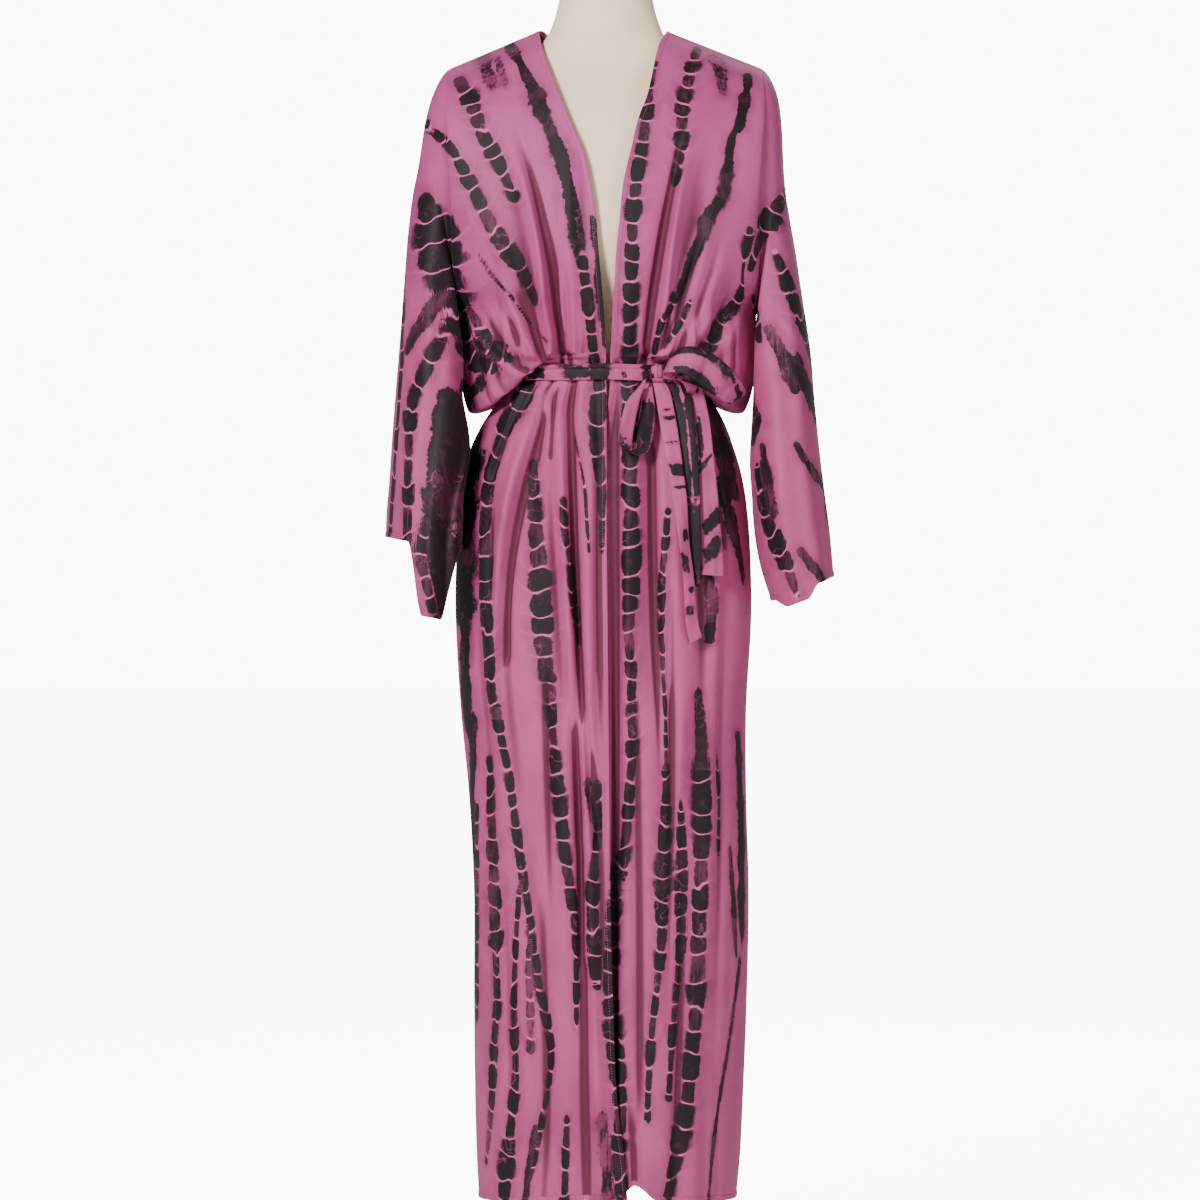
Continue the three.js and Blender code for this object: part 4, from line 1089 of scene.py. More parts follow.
class Shop:
    """Adds the nodes of one material, or of the world."""

    def __init__(self, name: str, world: bool = False) -> None:
        """Starts an empty material or world.

        Args:
            name: its name.
            world: whether it is a world.
        """
        self.made = (bpy.data.worlds if world else bpy.data.materials).new(name)
        self.made.use_nodes = True
        self.tree = self.made.node_tree
        self.tree.nodes.clear()

    def node(self, kind: str, settings: dict, inputs: dict) -> bpy.types.Node:
        """Adds one node.

        Args:
            kind: the node's type.
            settings: its own settings, set first.
            inputs: values or links for its sockets, by name or number.

        Returns:
            The node.
        """
        made = self.tree.nodes.new(kind)
        for name, value in settings.items():
            if name == "stops":
                ramp = made.color_ramp
                ramp.elements[0].position, ramp.elements[0].color = value[0]
                ramp.elements[1].position, ramp.elements[1].color = value[-1]
                for place, colour in value[1:-1]:
                    ramp.elements.new(place).color = colour
            else:
                setattr(made, name, value)
        for name, value in inputs.items():
            socket = made.inputs[name]
            if isinstance(value, Value):
                self.tree.links.new(value.socket, socket)
            elif isinstance(value, tuple) and socket.type == "RGBA":
                socket.default_value = (*value, 1.0)
            else:
                socket.default_value = value
        return made

    def value(self, node: bpy.types.Node, output: str | int = 0) -> Value:
        """One output of a node, ready for maths."""
        return Value(self, node.outputs[output])

    def math(self, operation: str, *values: Value | float) -> Value:
        """One Math node."""
        inputs = dict(enumerate(values))
        return self.value(self.node("ShaderNodeMath", {"operation": operation}, inputs))

    def noise(self, vector: Value, scale: float, detail: float = 2.0, rough: float = 0.5) -> Value:
        """Noise from 0 to 1 at a scale per metre."""
        inputs = {"Vector": vector, "Scale": scale, "Detail": detail, "Roughness": rough}
        return self.value(self.node("ShaderNodeTexNoise", {}, inputs))

    def place(self) -> Value:
        """Object coordinates."""
        return self.value(self.node("ShaderNodeTexCoord", {}, {}), "Object")

    def blend(self, factor: Value | float, first: Value | Colour, second: Value | Colour) -> Value:
        """Mixes two colours by a factor."""
        settings = {"data_type": "RGBA"}
        inputs = {0: factor, 6: first, 7: second}
        return self.value(self.node("ShaderNodeMix", settings, inputs), 2)

    def parts(self, vector: Value) -> tuple[Value, Value, Value]:
        """The three numbers of a vector."""
        made = self.node("ShaderNodeSeparateXYZ", {}, {"Vector": vector})
        return tuple(self.value(made, k) for k in range(3))

    def attribute(self, name: str, output: str) -> Value:
        """What the mesh holds under a name."""
        return self.value(self.node("ShaderNodeAttribute", {"attribute_name": name}, {}), output)

    def drawn_out(self, vector: Value, scale: Place) -> Value:
        """A vector scaled along each axis, so that a pattern on it is drawn out."""
        inputs = {"Vector": vector, "Scale": scale}
        return self.value(self.node("ShaderNodeMapping", {}, inputs), "Vector")

    def to_camera(self, lit: bpy.types.Node, seen: bpy.types.Node) -> Value:
        """One shader that lights the scene, and another that shows in the background."""
        ray = self.value(self.node("ShaderNodeLightPath", {}, {}), "Is Camera Ray")
        inputs = {0: ray, 1: self.value(lit), 2: self.value(seen)}
        return self.value(self.node("ShaderNodeMixShader", {}, inputs))

    def bump(self, height: Value, distance: float, strength: float) -> Value:
        """A bump normal from a height, in metres."""
        inputs = {"Height": height, "Distance": distance, "Strength": strength}
        return self.value(self.node("ShaderNodeBump", {}, inputs), "Normal")

    def surface(self, inputs: dict) -> bpy.types.Material:
        """Ends the material with its shader.

        Args:
            inputs: what its sockets take.

        Returns:
            The finished material.
        """
        shader = self.node("ShaderNodeBsdfPrincipled", {}, inputs)
        self.node("ShaderNodeOutputMaterial", {}, {"Surface": self.value(shader)})
        return self.made


@dataclass(frozen=True)
class DyedCrepe:
    """Soft crepe in pink with bound-resist lines of near-black dye, and painted shade darkening its
    creases.
    """

    pink: Colour = (0.415, 0.063, 0.178)
    mauve: Colour = (0.39, 0.059, 0.197)
    deep_pink: Colour = (0.32, 0.043, 0.142)
    pale_pink: Colour = (0.62, 0.15, 0.32)
    # painted shade colour that creases and troughs darken towards
    painted_crease_shade_pink: Colour = (0.08, 0.008, 0.026)
    ink: Colour = (0.009, 0.0025, 0.0055)
    faded_ink: Colour = (0.08, 0.016, 0.04)
    patch_scale: float = 9.0
    edge_scale: float = 170.0
    streak_scale: float = 260.0
    slow_scale: float = 30.0
    wear_scale: float = 90.0
    weave_scale: float = 1500.0
    breadth: float = 0.79
    line_width: float = 1.2
    rough: float = 0.64
    sheen: float = 0.04
    # how strongly the painted crease shade darkens the pink
    painted_shade_strength: float = 0.9

    def material(self) -> bpy.types.Material:
        """Makes the cloth's material, which reads the cloth's dye, look, crease depth for painted shade,
        and UV.
        """
        shop = Shop("dyed_crepe")
        place = shop.place()
        height = shop.parts(place)[2]
        ink, rungs = self.dye_masks(shop, place, height)
        patches = shop.noise(place, self.patch_scale, 3.0)
        pink = shop.blend(height.step(1.0, 1.3), self.pink, self.mauve)
        pink = shop.blend(patches.step(0.35, 0.7) * 0.7, pink, self.deep_pink)
        pink = shop.blend(rungs * 0.55, pink, self.pale_pink)
        # Painted shade: the pink darkens towards a near-black pink where the cloth lies deep between its
        # neighbours, in creases and troughs.
        hollow = shop.attribute("hollow", "Fac").step(0.15, 2.9)
        pink = shop.blend(hollow * self.painted_shade_strength, pink, self.painted_crease_shade_pink)
        worn = shop.noise(place, self.wear_scale, 3.0, 0.6)
        dark = shop.blend(worn.step(0.56, 0.72) * 0.3, self.ink, self.faded_ink)
        colour = shop.blend(ink, pink, dark)
        cloth = shop.value(shop.node("ShaderNodeUVMap", {"uv_map": "cloth"}, {}), "UV")
        crepe = shop.noise(cloth, self.weave_scale, 2.0, 0.6)
        slack = shop.noise(place, 26.0, 2.0)
        normal = shop.bump(crepe * 0.12 + slack * 1.6, 0.001, 0.55)
        return shop.surface({
            "Base Color": colour, "Roughness": self.rough, "Sheen Weight": self.sheen,
            "Sheen Roughness": 0.4, "Specular IOR Level": 0.26, "Normal": normal,
        })

    def dye_masks(self, shop: Shop, place: Value, height: Value) -> tuple[Value, Value]:
        """Where the dye took and where the binding threads kept it out.

        Args:
            shop: adds the nodes.
            place: object coordinates.
            height: their z.

        Returns:
            The ink from 0 to 1, and the pale lines between its blocks.
        """
        off, along, ragged = shop.parts(shop.attribute("dye", "Vector"))
        pitch, strength, seed = shop.parts(shop.attribute("look", "Vector"))
        edge_noise = shop.noise(place, self.edge_scale, 2.0, 0.6) - 0.5
        drawn = shop.drawn_out(place, (1, 1, 0.16))
        streak = shop.noise(drawn, self.streak_scale, 3.0, 0.6) - 0.5
        slow_noise = shop.noise(place, self.slow_scale, 1.0) - 0.5
        bowed = along + slow_noise * 30.0 + off * off * 2.2
        cell = bowed / pitch + seed
        within = cell.fract()
        to_line = within.least(1.0 - within) * pitch
        block = shop.node("ShaderNodeTexWhiteNoise", {"noise_dimensions": "1D"}, {"W": cell.floor()})
        luck = shop.value(block, "Value")
        neat = 1.0 - ragged
        rounding = (1.0 - to_line.step(0.0, 6.0)) * 0.32 * neat
        uneven = ragged * (slow_noise * 1.6 + 0.23)
        spread = (luck * 0.6 - 0.1) * neat + self.breadth + uneven
        jag = edge_noise * (ragged * 0.5 + 0.34) + streak * 0.5
        reach = off / spread.most(0.3) + jag + rounding
        blur = shop.noise(place, 22.0, 1.0).step(0.5, 0.66) * 0.45 + 0.12
        body = 1.0 - ((reach - 0.9) / blur).least(1.0).most(0.0)
        thin = (to_line + edge_noise * 1.8).step(0.45, self.line_width + 0.55)
        lines = thin.most(ragged)
        vein = shop.noise(place, 42.0, 2.0, 0.6) - 0.5
        torn = shop.noise(place, 14.0, 1.0).step(0.56, 0.64)
        veins = 1.0 - (1.0 - vein.math("ABSOLUTE").step(0.0, 0.022)) * torn * 0.4
        washed = shop.noise(place, 6.5, 1.0).step(0.5, 0.68) * 0.18
        washed = washed + height.step(1.36, 1.5) * 0.24
        tone = (strength + luck * 0.3 - 0.1 - washed).least(1.0).most(0.0)
        mottle = 1.0 - (1.0 - tone) * (slow_noise + edge_noise * 0.4 + streak + 0.5).step(0.32, 0.66)
        halo = (1.0 - reach.step(0.9, 2.6)) * (0.2 + slow_noise * 0.5)
        rungs = (1.0 - thin) * neat * (1.0 - reach.step(0.95, 1.25))
        return (body * lines * mottle * veins).most(halo * lines), rungs


@dataclass(frozen=True)
class SewingThread:
    """Spun polyester thread in the robe's pink."""

    light: Colour = (0.58, 0.12, 0.30)
    dark: Colour = (0.36, 0.05, 0.16)

    def material(self) -> bpy.types.Material:
        """Makes the thread's material."""
        shop = Shop("sewing_thread")
        twist = shop.noise(shop.place(), 2600.0, 2.0)
        colour = shop.blend(twist.step(0.4, 0.6), self.light, self.dark)
        inputs = {"Base Color": colour, "Roughness": 0.55, "Sheen Weight": 0.1}
        return shop.surface({**inputs, "Normal": shop.bump(twist, 0.0002, 0.5)})


@dataclass(frozen=True)
class FormJersey:
    """Cream stretch jersey over the dress form."""

    cream: Colour = (0.97, 0.73, 0.52)
    warm: Colour = (0.95, 0.69, 0.47)

    def material(self) -> bpy.types.Material:
        """Makes the form's material."""
        shop = Shop("form_jersey")
        place = shop.place()
        tint = shop.blend(shop.noise(place, 6.0, 2.0).step(0.3, 0.75), self.cream, self.warm)
        bands = {"bands_direction": "X", "wave_type": "BANDS"}
        inputs = {"Vector": place, "Scale": 420.0, "Distortion": 1.5, "Detail": 1.0}
        knit = shop.value(shop.node("ShaderNodeTexWave", bands, inputs), "Fac")
        grain = shop.noise(place, 1400.0, 2.0)
        return shop.surface({
            "Base Color": tint, "Roughness": 0.85, "Sheen Weight": 0.15,
            "Specular IOR Level": 0.25,
            "Normal": shop.bump(knit * 0.5 + grain * 0.5, 0.0001, 0.5),
        })


@dataclass(frozen=True)
class TurnedWood:
    """Lacquered pale wood, with its grain along the pole."""

    light: Colour = (0.56, 0.35, 0.18)
    dark: Colour = (0.33, 0.18, 0.08)

    def material(self) -> bpy.types.Material:
        """Makes the stand's material."""
        shop = Shop("turned_wood")
        along = shop.drawn_out(shop.place(), (0.1, 1.0, 0.05))
        figure = shop.noise(along, 140.0, 4.0, 0.6)
        pores = shop.noise(along, 900.0, 2.0, 0.5)
        colour = shop.blend(figure.step(0.36, 0.66), self.light, self.dark)
        colour = shop.blend(pores.step(0.6, 0.75) * 0.35, colour, self.dark)
        return shop.surface({
            "Base Color": colour, "Roughness": figure * 0.12 + 0.34, "Coat Weight": 0.35,
            "Coat Roughness": 0.2, "Normal": shop.bump(pores, 0.0002, 0.4),
        })


@dataclass
class Wardrobe:
    """The finishes, each made once."""

    crepe: bpy.types.Material = field(default_factory=lambda: DyedCrepe().material())
    thread: bpy.types.Material = field(default_factory=lambda: SewingThread().material())
    jersey: bpy.types.Material = field(default_factory=lambda: FormJersey().material())
    wood: bpy.types.Material = field(default_factory=lambda: TurnedWood().material())

    def dress(
        self, piece: bpy.types.Object, finish: bpy.types.Material, slot: str, *nodes: str
    ) -> None:
        """Gives a piece its finish and its place in the frame.

        Args:
            piece: the piece.
            finish: its material.
            slot: the record's material slot; not used.
            nodes: the solids that it stands for.
        """
        piece.data.materials.append(finish)
        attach(piece, "root")
        if nodes:
            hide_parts(*nodes)
        log.info("%s: %d faces", piece.name, len(piece.data.polygons))


@dataclass
class Hems:
    """The narrow turned hems and the stitches that hold them."""

    wardrobe: Wardrobe
    width: float = 6.0
    proud: float = 0.55
    thickness: float = 0.3
    stitch: float = 2.1
    pitch: float = 3.2
    thread_half: float = 0.28

    def sew(self, cloth: Cloth, rim: Rim, facing: int, name: str) -> list[bpy.types.Object]:
        """Turns up one rim of a cloth and sews it.

        Args:
            cloth: the cloth.
            rim: which of its rims.
            facing: 1 where the cloth's grid already faces out, else -1.
            name: the hem's name.

        Returns:
            The hem and its stitches.
        """
        insets = np.array([0.0, 0.4, 1.2, 4.2, 5.0, 5.7, self.width])
        lifts = np.array([0.1, 0.8, 1.0, 0.85, 0.45, 0.75, 0.1]) * self.proud
        strip = cloth.hem(rim, insets, lifts, facing)
        turned = -facing if rim is Rim.BOTTOM else facing
        hem = strip.build(name, turned, self.thickness)
        self.wardrobe.dress(hem, self.wardrobe.crepe, "dyed_cloth")
        line = cloth.hem(rim, np.array([5.0, 5.3]), np.array([0.75, 0.75]) * self.proud, facing)
        seam = self.stitches(line.points[:, 0], f"{name}_stitches")
        self.wardrobe.dress(seam, self.wardrobe.thread, "dyed_cloth")
        return [hem, seam]

    def stitches(self, path: Array, name: str) -> bpy.types.Object:
        """Makes a row of stitches along a path.

        Args:
            path: the points of the path, in millimetres.
            name: the row's name.

        Returns:
            The row.
        """
        run = lengths(path)
        bm = bmesh.new()
        half = self.thread_half * MM
        for start in np.arange(2.0, run[-1] - 2.0, self.pitch):
            ends = [Vector(resample(path, run, at) * MM) for at in (start, start + self.stitch)]
            along = ends[1] - ends[0]
            turn = along.to_track_quat("Z", "Y").to_matrix().to_4x4()
            shape = Matrix.Diagonal((half, half, self.stitch * 0.5 * MM, 1.0))
            place = Matrix.Translation((ends[0] + ends[1]) / 2) @ turn @ shape
            bmesh.ops.create_icosphere(bm, subdivisions=1, radius=1.0, matrix=place)
        for face in bm.faces:
            face.smooth = True
        return finish_mesh(bm, name)


@dataclass
class Robe:
    """The two fronts and the back."""

    wardrobe: Wardrobe
    hems: Hems
    front_across: int = 132
    back_across: int = 190
    rows: int = 230

    def build(self) -> None:
        """Makes the three cut pieces of the body."""
        last = LEVELS.last
        for face, outward in ((LEFT, 1), (RIGHT, -1)):
            points = grid(lambda u, t: BODY.front(face, u, t * last), self.front_across, self.rows)
            cloth = Cloth(points)
            cloth.paint(FRONT_STRIPES, -1)
            node = f"robe_front_{face.value}"
            piece = cloth.build(f"front_{face.value}", outward)
            self.wardrobe.dress(piece, self.wardrobe.crepe, "dyed_cloth", node)
            sewn = self.hems.sew(cloth, Rim.FRONT, outward, f"front_{face.value}_edge_hem")
            sewn += self.hems.sew(cloth, Rim.BOTTOM, outward, f"front_{face.value}_hem")
        points = grid(lambda u, t: BODY.rear(u, t * last), self.back_across, self.rows)
        cloth = Cloth(points)
        cloth.paint(BACK_STRIPES, 1)
        piece = cloth.build("back_panel", 1)
        self.wardrobe.dress(piece, self.wardrobe.crepe, "dyed_cloth", "robe_back")
        sewn = self.hems.sew(cloth, Rim.BOTTOM, 1, "back_hem")


RING_NAMES = "out_x out_z in_x in_z in_y front back drop lean"
RIGHT_RINGS = Table(RING_NAMES, [
    (188, 1467, 183, 1174, 0, 60, 60, 0, 0),
    (202, 1459, 185, 1168, 0, 65, 64, 0, 2),
    (210, 1436, 188, 1152, 0, 70, 68, 0, 8),
    (212, 1392, 190, 1134, 0, 74, 71, 0, 18),
    (215, 1332, 190, 1112, 0, 78, 74, 0, 26),
    (221, 1290, 186, 1090, 0, 81, 77, 0, 24),
    (228, 1250, 180, 1066, 0, 84, 80, 0, 16),
    (237, 1190, 175, 1032, 0, 87, 83, 0, 8),
    (246, 1130, 173, 995, -4, 90, 86, 0, 3),
    (251, 1070, 175, 960, -8, 92, 88, 0, 2),
    (257, 1010, 177, 925, -10, 94, 90, 4, 2),
    (263, 960, 181, 893, -10, 95, 92, 8, 0),
    (269, 914, 188, 862, -8, 96, 93, 12, 0),
    (274, 859, 199, 829, -4, 97, 94, 14, 0),
])
LEFT_RINGS = Table(RING_NAMES, [
    (188, 1467, 182, 1174, 0, 60, 60, 0, 0),
    (204, 1459, 185, 1168, 0, 66, 63, 0, 2),
    (213, 1434, 187, 1152, 0, 72, 66, 0, 10),
    (219, 1396, 188, 1134, 0, 77, 69, 0, 24),
    (226, 1350, 188, 1110, 0, 82, 72, 0, 34),
    (233, 1314, 186, 1086, 0, 86, 74, 2, 38),
    (239, 1262, 182, 1060, -8, 90, 76, 6, 32),
    (244, 1195, 169, 1032, -22, 93, 78, 14, 22),
    (249, 1130, 163, 1004, -36, 96, 80, 26, 12),
    (254, 1070, 166, 976, -48, 99, 81, 40, 6),
    (258, 1015, 170, 950, -56, 102, 82, 54, 0),
    (261, 970, 170, 926, -60, 104, 83, 66, 0),
    (264, 936, 171, 905, -60, 106, 84, 76, 0),
    (265, 906, 172, 889, -60, 107, 84, 86, 0),
])


@dataclass(frozen=True)
class SleeveFold:
    """A fold along a sleeve, at an angle from the top of the ring, from one ring down."""

    angle: float
    width: float
    height: float
    start: float


@dataclass
class Sleeve:
    """One wide sleeve, from the armhole to its open cuff.

    drop_angles are where the cuff's lower point begins, is full, begins to end and is gone, in
    degrees from the top of the ring.
    """

    wardrobe: Wardrobe
    hems: Hems
    side: Face
    rings: Table
    soft_folds: list[SleeveFold]
    drop_angles: tuple[float, float, float, float]
    around: int = 144
    rows: int = 150
    blend_rows: float = 3

    def armhole(self, front: Array, share: Array) -> Array:
        """The armhole's edge, from the shoulder at share 0 to the underarm at share 1.

        Args:
            front: whether each point is on the front.
            share: how far round from the shoulder it lies.

        Returns:
            The points.
        """
        rows = np.arange(UNDERARM_ROW + 1)
        column = LEVELS.columns
        made = []
        for y in (-column["arm_front"][rows], column["arm_back"][rows]):
            line = np.stack([column[self.side.value][rows], y, column["side_z"][rows]], axis=-1)
            run = lengths(line)
            made.append(resample(line, run, share * run[-1]))
        return np.where(front[..., None], made[0], made[1])

    def point(self, turn: Array, v: Array) -> Array:
        """Points of the sleeve.

        Args:
            turn: how far round the ring, 0 at its top and 0.25 at its front.
            v: the ring, as a row number.

        Returns:
            The points.
        """
        read = self.rings.read
        cos = np.cos(2 * np.pi * turn)
        sin = np.sin(2 * np.pi * turn)
        under = (1 - cos) / 2
        is_front = sin > 0
        depth = np.where(is_front, -read("front", v), read("back", v))
        degrees = np.where(turn > 0.5, turn * 360 - 360, turn * 360)
        start, full, end, gone = self.drop_angles
        dropped = smooth(start, full, degrees) * (1 - smooth(end, gone, degrees))
        lean = read("lean", v) * np.maximum(0, sin) * under
        x = mix(read("out_x", v), read("in_x", v), under) - lean
        y = depth * np.abs(sin) ** 0.85 + read("in_y", v) * under
        z = mix(read("out_z", v), read("in_z", v), under) - read("drop", v) * dropped
        for fold in self.soft_folds:
            q = (degrees - fold.angle) / fold.width
            out = fold.height * smooth(fold.start, fold.start + 5, v) * np.exp(-q * q)
            y = y + np.sign(depth) * out * np.abs(sin)
            x = x + out * 0.35 * cos
        slack = smooth(2, 6, v) * np.sin(2 * np.pi * (5 * turn + 0.11 * v))
        y = y + np.sign(depth) * 1.2 * slack * np.abs(sin)
        p = np.stack([x, y, z], axis=-1)
        blend = smooth(0, self.blend_rows, v)[..., None]
        share = np.where(turn > 0.5, 2 - 2 * turn, 2 * turn)
        p = mix(self.armhole(turn <= 0.5, share), p, blend)
        if self.side is LEFT:
            p[..., 0] = -p[..., 0]
        return p

    def build(self) -> None:
        """Makes the sleeve."""
        last = self.rings.last
        points = grid(lambda u, t: self.point(u % 1.0, t * last), self.around, self.rows)
        cloth = Cloth(points, closed=True)
        cloth.paint(FRONT_STRIPES, -1)
        cloth.paint(BACK_STRIPES, 1)
        name = f"sleeve_{self.side.value}"
        facing = 1 if self.side is RIGHT else -1
        piece = cloth.build(f"{name}_cloth", facing)
        self.wardrobe.dress(piece, self.wardrobe.crepe, "dyed_cloth", name)
        sewn = self.hems.sew(cloth, Rim.BOTTOM, facing, f"{name}_cuff_hem")


RIBBON_NAMES = "x z half_x half_z half_y out"
LEFT_LOOP = Table(RIBBON_NAMES, [
    (50, 1097, 2, 6, 0, 6),
    (42, 1084, 6, 7, 2, 14),
    (32, 1066, 8, 3, 3, 19),
    (26, 1042, 8, 1, 3, 20),
    (22, 1016, 8, -1, 4, 19),
    (28, 1004, 5, -2, 7, 14),
    (40, 1007, 9, -2, 4, 8),
    (46, 1026, 10, 0, 2, 6),
    (49, 1056, 9, 1, 2, 6),
    (50, 1082, 5, 2, 1, 7),
])
RIGHT_LOOP = Table(RIBBON_NAMES, [
    (68, 1102, 1, 6, 1, 9),
    (77, 1111, 5, 12, 2, 21),
    (93, 1113, 4, 16, 3, 28),
    (113, 1106, 7, 18, 3, 31),
    (133, 1092, 11, 15, 4, 32),
    (150, 1076, 12, 10, 5, 31),
    (155, 1069, 9, 6, 8, 26),
    (142, 1079, 10, 8, 5, 16),
    (121, 1091, 8, 10, 3, 16),
    (98, 1099, 5, 10, 2, 16),
    (80, 1100, 3, 6, 1, 13),
])
LONG_TAIL = Table(RIBBON_NAMES, [
    (61, 1093, 6, 0, 0.5, 8.5),
    (67, 1076, 9, 0, 1, 7),
    (73, 1042, 9.5, 1, 2, 6.5),
    (81, 991, 9, 1, 1, 6.5),
    (87, 949, 8, 1, 2, 6.5),
    (91, 905, 6, 0, 4, 6),
    (97, 856, 6, 0, 4, 6),
    (101, 806, 7, 1, 3, 6),
    (106, 782, 7, 4, 2, 5),
])
DARK_RUN = Table(RIBBON_NAMES, [
    (78, 1094, 6, 0, 0.5, 6),
    (86, 1082, 11, 0, 1, 4.5),
    (94, 1043, 11, 0, -1, 4),
    (100, 972, 10, 0, -1, 4),
    (104, 918, 8, 0, -2, 4),
    (107, 880, 6, 0, -2, 4),
    (107, 846, 3, 0, -1, 3.5),
])
SHORT_TAIL = Table(RIBBON_NAMES, [
    (66, 1098, 2, 5, 0.5, 8),
    (82, 1099, 4, 7, 1, 10),
    (97, 1093, 7, 5, 1, 10),
    (106, 1078, 9, 2, 1, 9),
    (111, 1056, 9, 1, 1, 7.5),
    (115, 1032, 9, 0, 1, 7),
    (119, 985, 10, 0, 1, 7),
    (123, 925, 12, 0, 1, 6.5),
    (126, 872, 13, 0, 1, 6),
    (126, 859, 13, -1, 1, 6),
])


@dataclass(frozen=True)
class Blot:
    """A patch of dye on a strip: where it is and half its size, along in mm and across in shares."""

    along: float
    half: float
    side: float = 0.0
    spread: float = 3.0


@dataclass
class Belt:
    """The tie belt: its band, knot, two loops and two tails."""

    wardrobe: Wardrobe
    top: float = 1110.4
    bottom: float = 1091.0
    reach: float = 4.9
    around: int = 360
    steps_up: int = 16
    grain_pitch: float = 17.0
    strength: float = 1.5
    knot_x: float = 60.0

    def blotches(self, cloth: Cloth, blots: list[Blot], seed: float) -> None:
        """Puts patches of dye on a strip.

        Args:
            cloth: the strip.
            blots: the patches.
            seed: tells the strips apart.
        """
        lying = cloth.rows < cloth.across
        along = cloth.run if lying else cloth.fall
        side = np.linspace(-1, 1, cloth.rows if lying else cloth.across)
        side = side[:, None] if lying else side[None, :]
        for blot in blots:
            off = np.maximum(
                np.abs(along - blot.along) / blot.half, np.abs(side - blot.side) / blot.spread
            )
            cloth.dye[..., 0] = np.minimum(cloth.dye[..., 0], off)
        cloth.dye[..., 1] = along
        cloth.dye[..., 2] = Dye.RAGGED.value
        cloth.look[..., 0] = self.grain_pitch
        cloth.look[..., 1] = self.strength
        cloth.look[..., 2] = seed

    def band(self) -> bpy.types.Object:
        """Makes the band round the waist, with a thin folded ridge along its top."""

        def point(u: Array, t: Array) -> Array:
            """Points of the band, from the share round and the share down."""
            a = 2 * np.pi * u + np.pi / 2
            up = 1 - t
            ridge = 1.5 * np.exp(-(((up - 0.82) / 0.10) ** 2))
            valley = 1.1 * np.exp(-(((up - 0.66) / 0.06) ** 2))
            swell = 1.0 * np.sin(np.pi * up) * (0.6 + 0.4 * np.cos(9 * a))
            crumple = 0.35 * np.sin(23 * a + 5 * up) + 0.25 * np.sin(41 * a - 3 * up)
            out = self.reach + swell + ridge - valley + crumple
            deep = np.where(np.sin(a) < 0, WAIST_FRONT, WAIST_BACK) + out
            z = mix(self.bottom, self.top, up) + 0.5 * np.sin(2 * a) + 0.5 * np.sin(7 * a)
            return np.stack([(WAIST_HALF + out) * np.cos(a), deep * np.sin(a), z], axis=-1)

        cloth = Cloth(grid(point, self.around, self.steps_up), closed=True)
        middle = cloth.run[self.steps_up // 2]
        blots = []
        for x, half, side, spread in (
            (-100, 10, 0, 3), (-80, 13, 0.1, 0.8), (-35, 13, -0.1, 0.7), (-8, 11, 0.1, 1.2),
            (20, 4, 0.4, 0.5), (47, 7, 0, 1.2), (90, 14, 0, 3),
        ):
            share = 0.5 + math.asin(x / WAIST_HALF) / (2 * math.pi)
            along = np.interp(share * self.around, np.arange(self.around + 1), middle)
            blots.append(Blot(float(along), half, side, spread))
        total = float(middle[-1])
        blots += [Blot(total * share, 14) for share in (0.03, 0.11, 0.19, 0.8, 0.88, 0.96)]
        self.blotches(cloth, blots, 3.1)
        return cloth.build("belt_strip", -1, 1.4)

    def ribbon(self, name: str, table: Table, blots: list[Blot]) -> bpy.types.Object:
        """Makes one free stretch of the belt.

        Args:
            name: the piece's name.
            table: its middle line, its half width and how far out it lies.
            blots: its patches of dye.

        Returns:
            The piece.
        """
        rows = table.last * 14
        v = np.linspace(0, table.last, rows + 1)
        read = {key: table.read(key, v) for key in table.columns}
        reach = np.abs(read["half_x"])
        under = np.array([
            min(BODY.front_of(float(x + k * r), float(z)) for k in (-1, 0, 1))
            for x, z, r in zip(read["x"], read["z"], reach)
        ])
        kernel = np.array([1, 2, 3, 2, 1]) / 9
        under = np.convolve(np.pad(under, 2, mode="edge"), kernel, mode="valid")
        across = np.linspace(-1, 1, 13)[None, :]
        ends = np.minimum(1, np.minimum(v, table.last - v) * 2)[:, None]
        cup = 1.1 * (1 - across**2) + 0.5 * np.sin(3.1 * v[:, None] + 2.2 * across) * ends
        crease = 0.7 * np.exp(-(((across - 0.25) / 0.16) ** 2)) * np.sin(1.7 * v[:, None]) * ends
        x = read["x"][:, None] + across * read["half_x"][:, None]
        z = read["z"][:, None] + across * read["half_z"][:, None]
        y = (under - read["out"])[:, None] + across * read["half_y"][:, None] - cup - crease
        cloth = Cloth(np.stack([x, y, z], axis=-1))
        self.blotches(cloth, blots, 1.9 * len(blots))
        return cloth.build(name, 1, 1.6)

    def knot(self) -> bpy.types.Object:
        """Makes the knot, a soft wrap with creases round it."""
        y0 = BODY.front_of(self.knot_x, 1100) - 7.2

        def point(u: Array, t: Array) -> Array:
            """Points of the knot, from the share round and the share across."""
            a = 2 * np.pi * u
            w = 2 * t - 1
            wide = (1 - np.abs(w) ** 2.4) ** 0.5 + 1e-4
            crease = 1 + 0.07 * np.cos(3 * np.pi * w + 0.8 * np.sin(a)) * wide
            x = self.knot_x + 8.5 * w + 0.8 * np.sin(a) * wide
            y = y0 + 6.8 * np.sin(a) * wide * crease
            z = 1100 + 9.8 * np.cos(a) * wide * crease + 1.2 * w
            return np.stack([x, y, z], axis=-1)

        cloth = Cloth(grid(point, 64, 36), closed=True)
        self.blotches(cloth, [Blot(8, 5, 0.3, 0.5), Blot(30, 4, -0.6, 0.3)], 0.4)
        return cloth.build("belt_wrap", -1, 1.0)

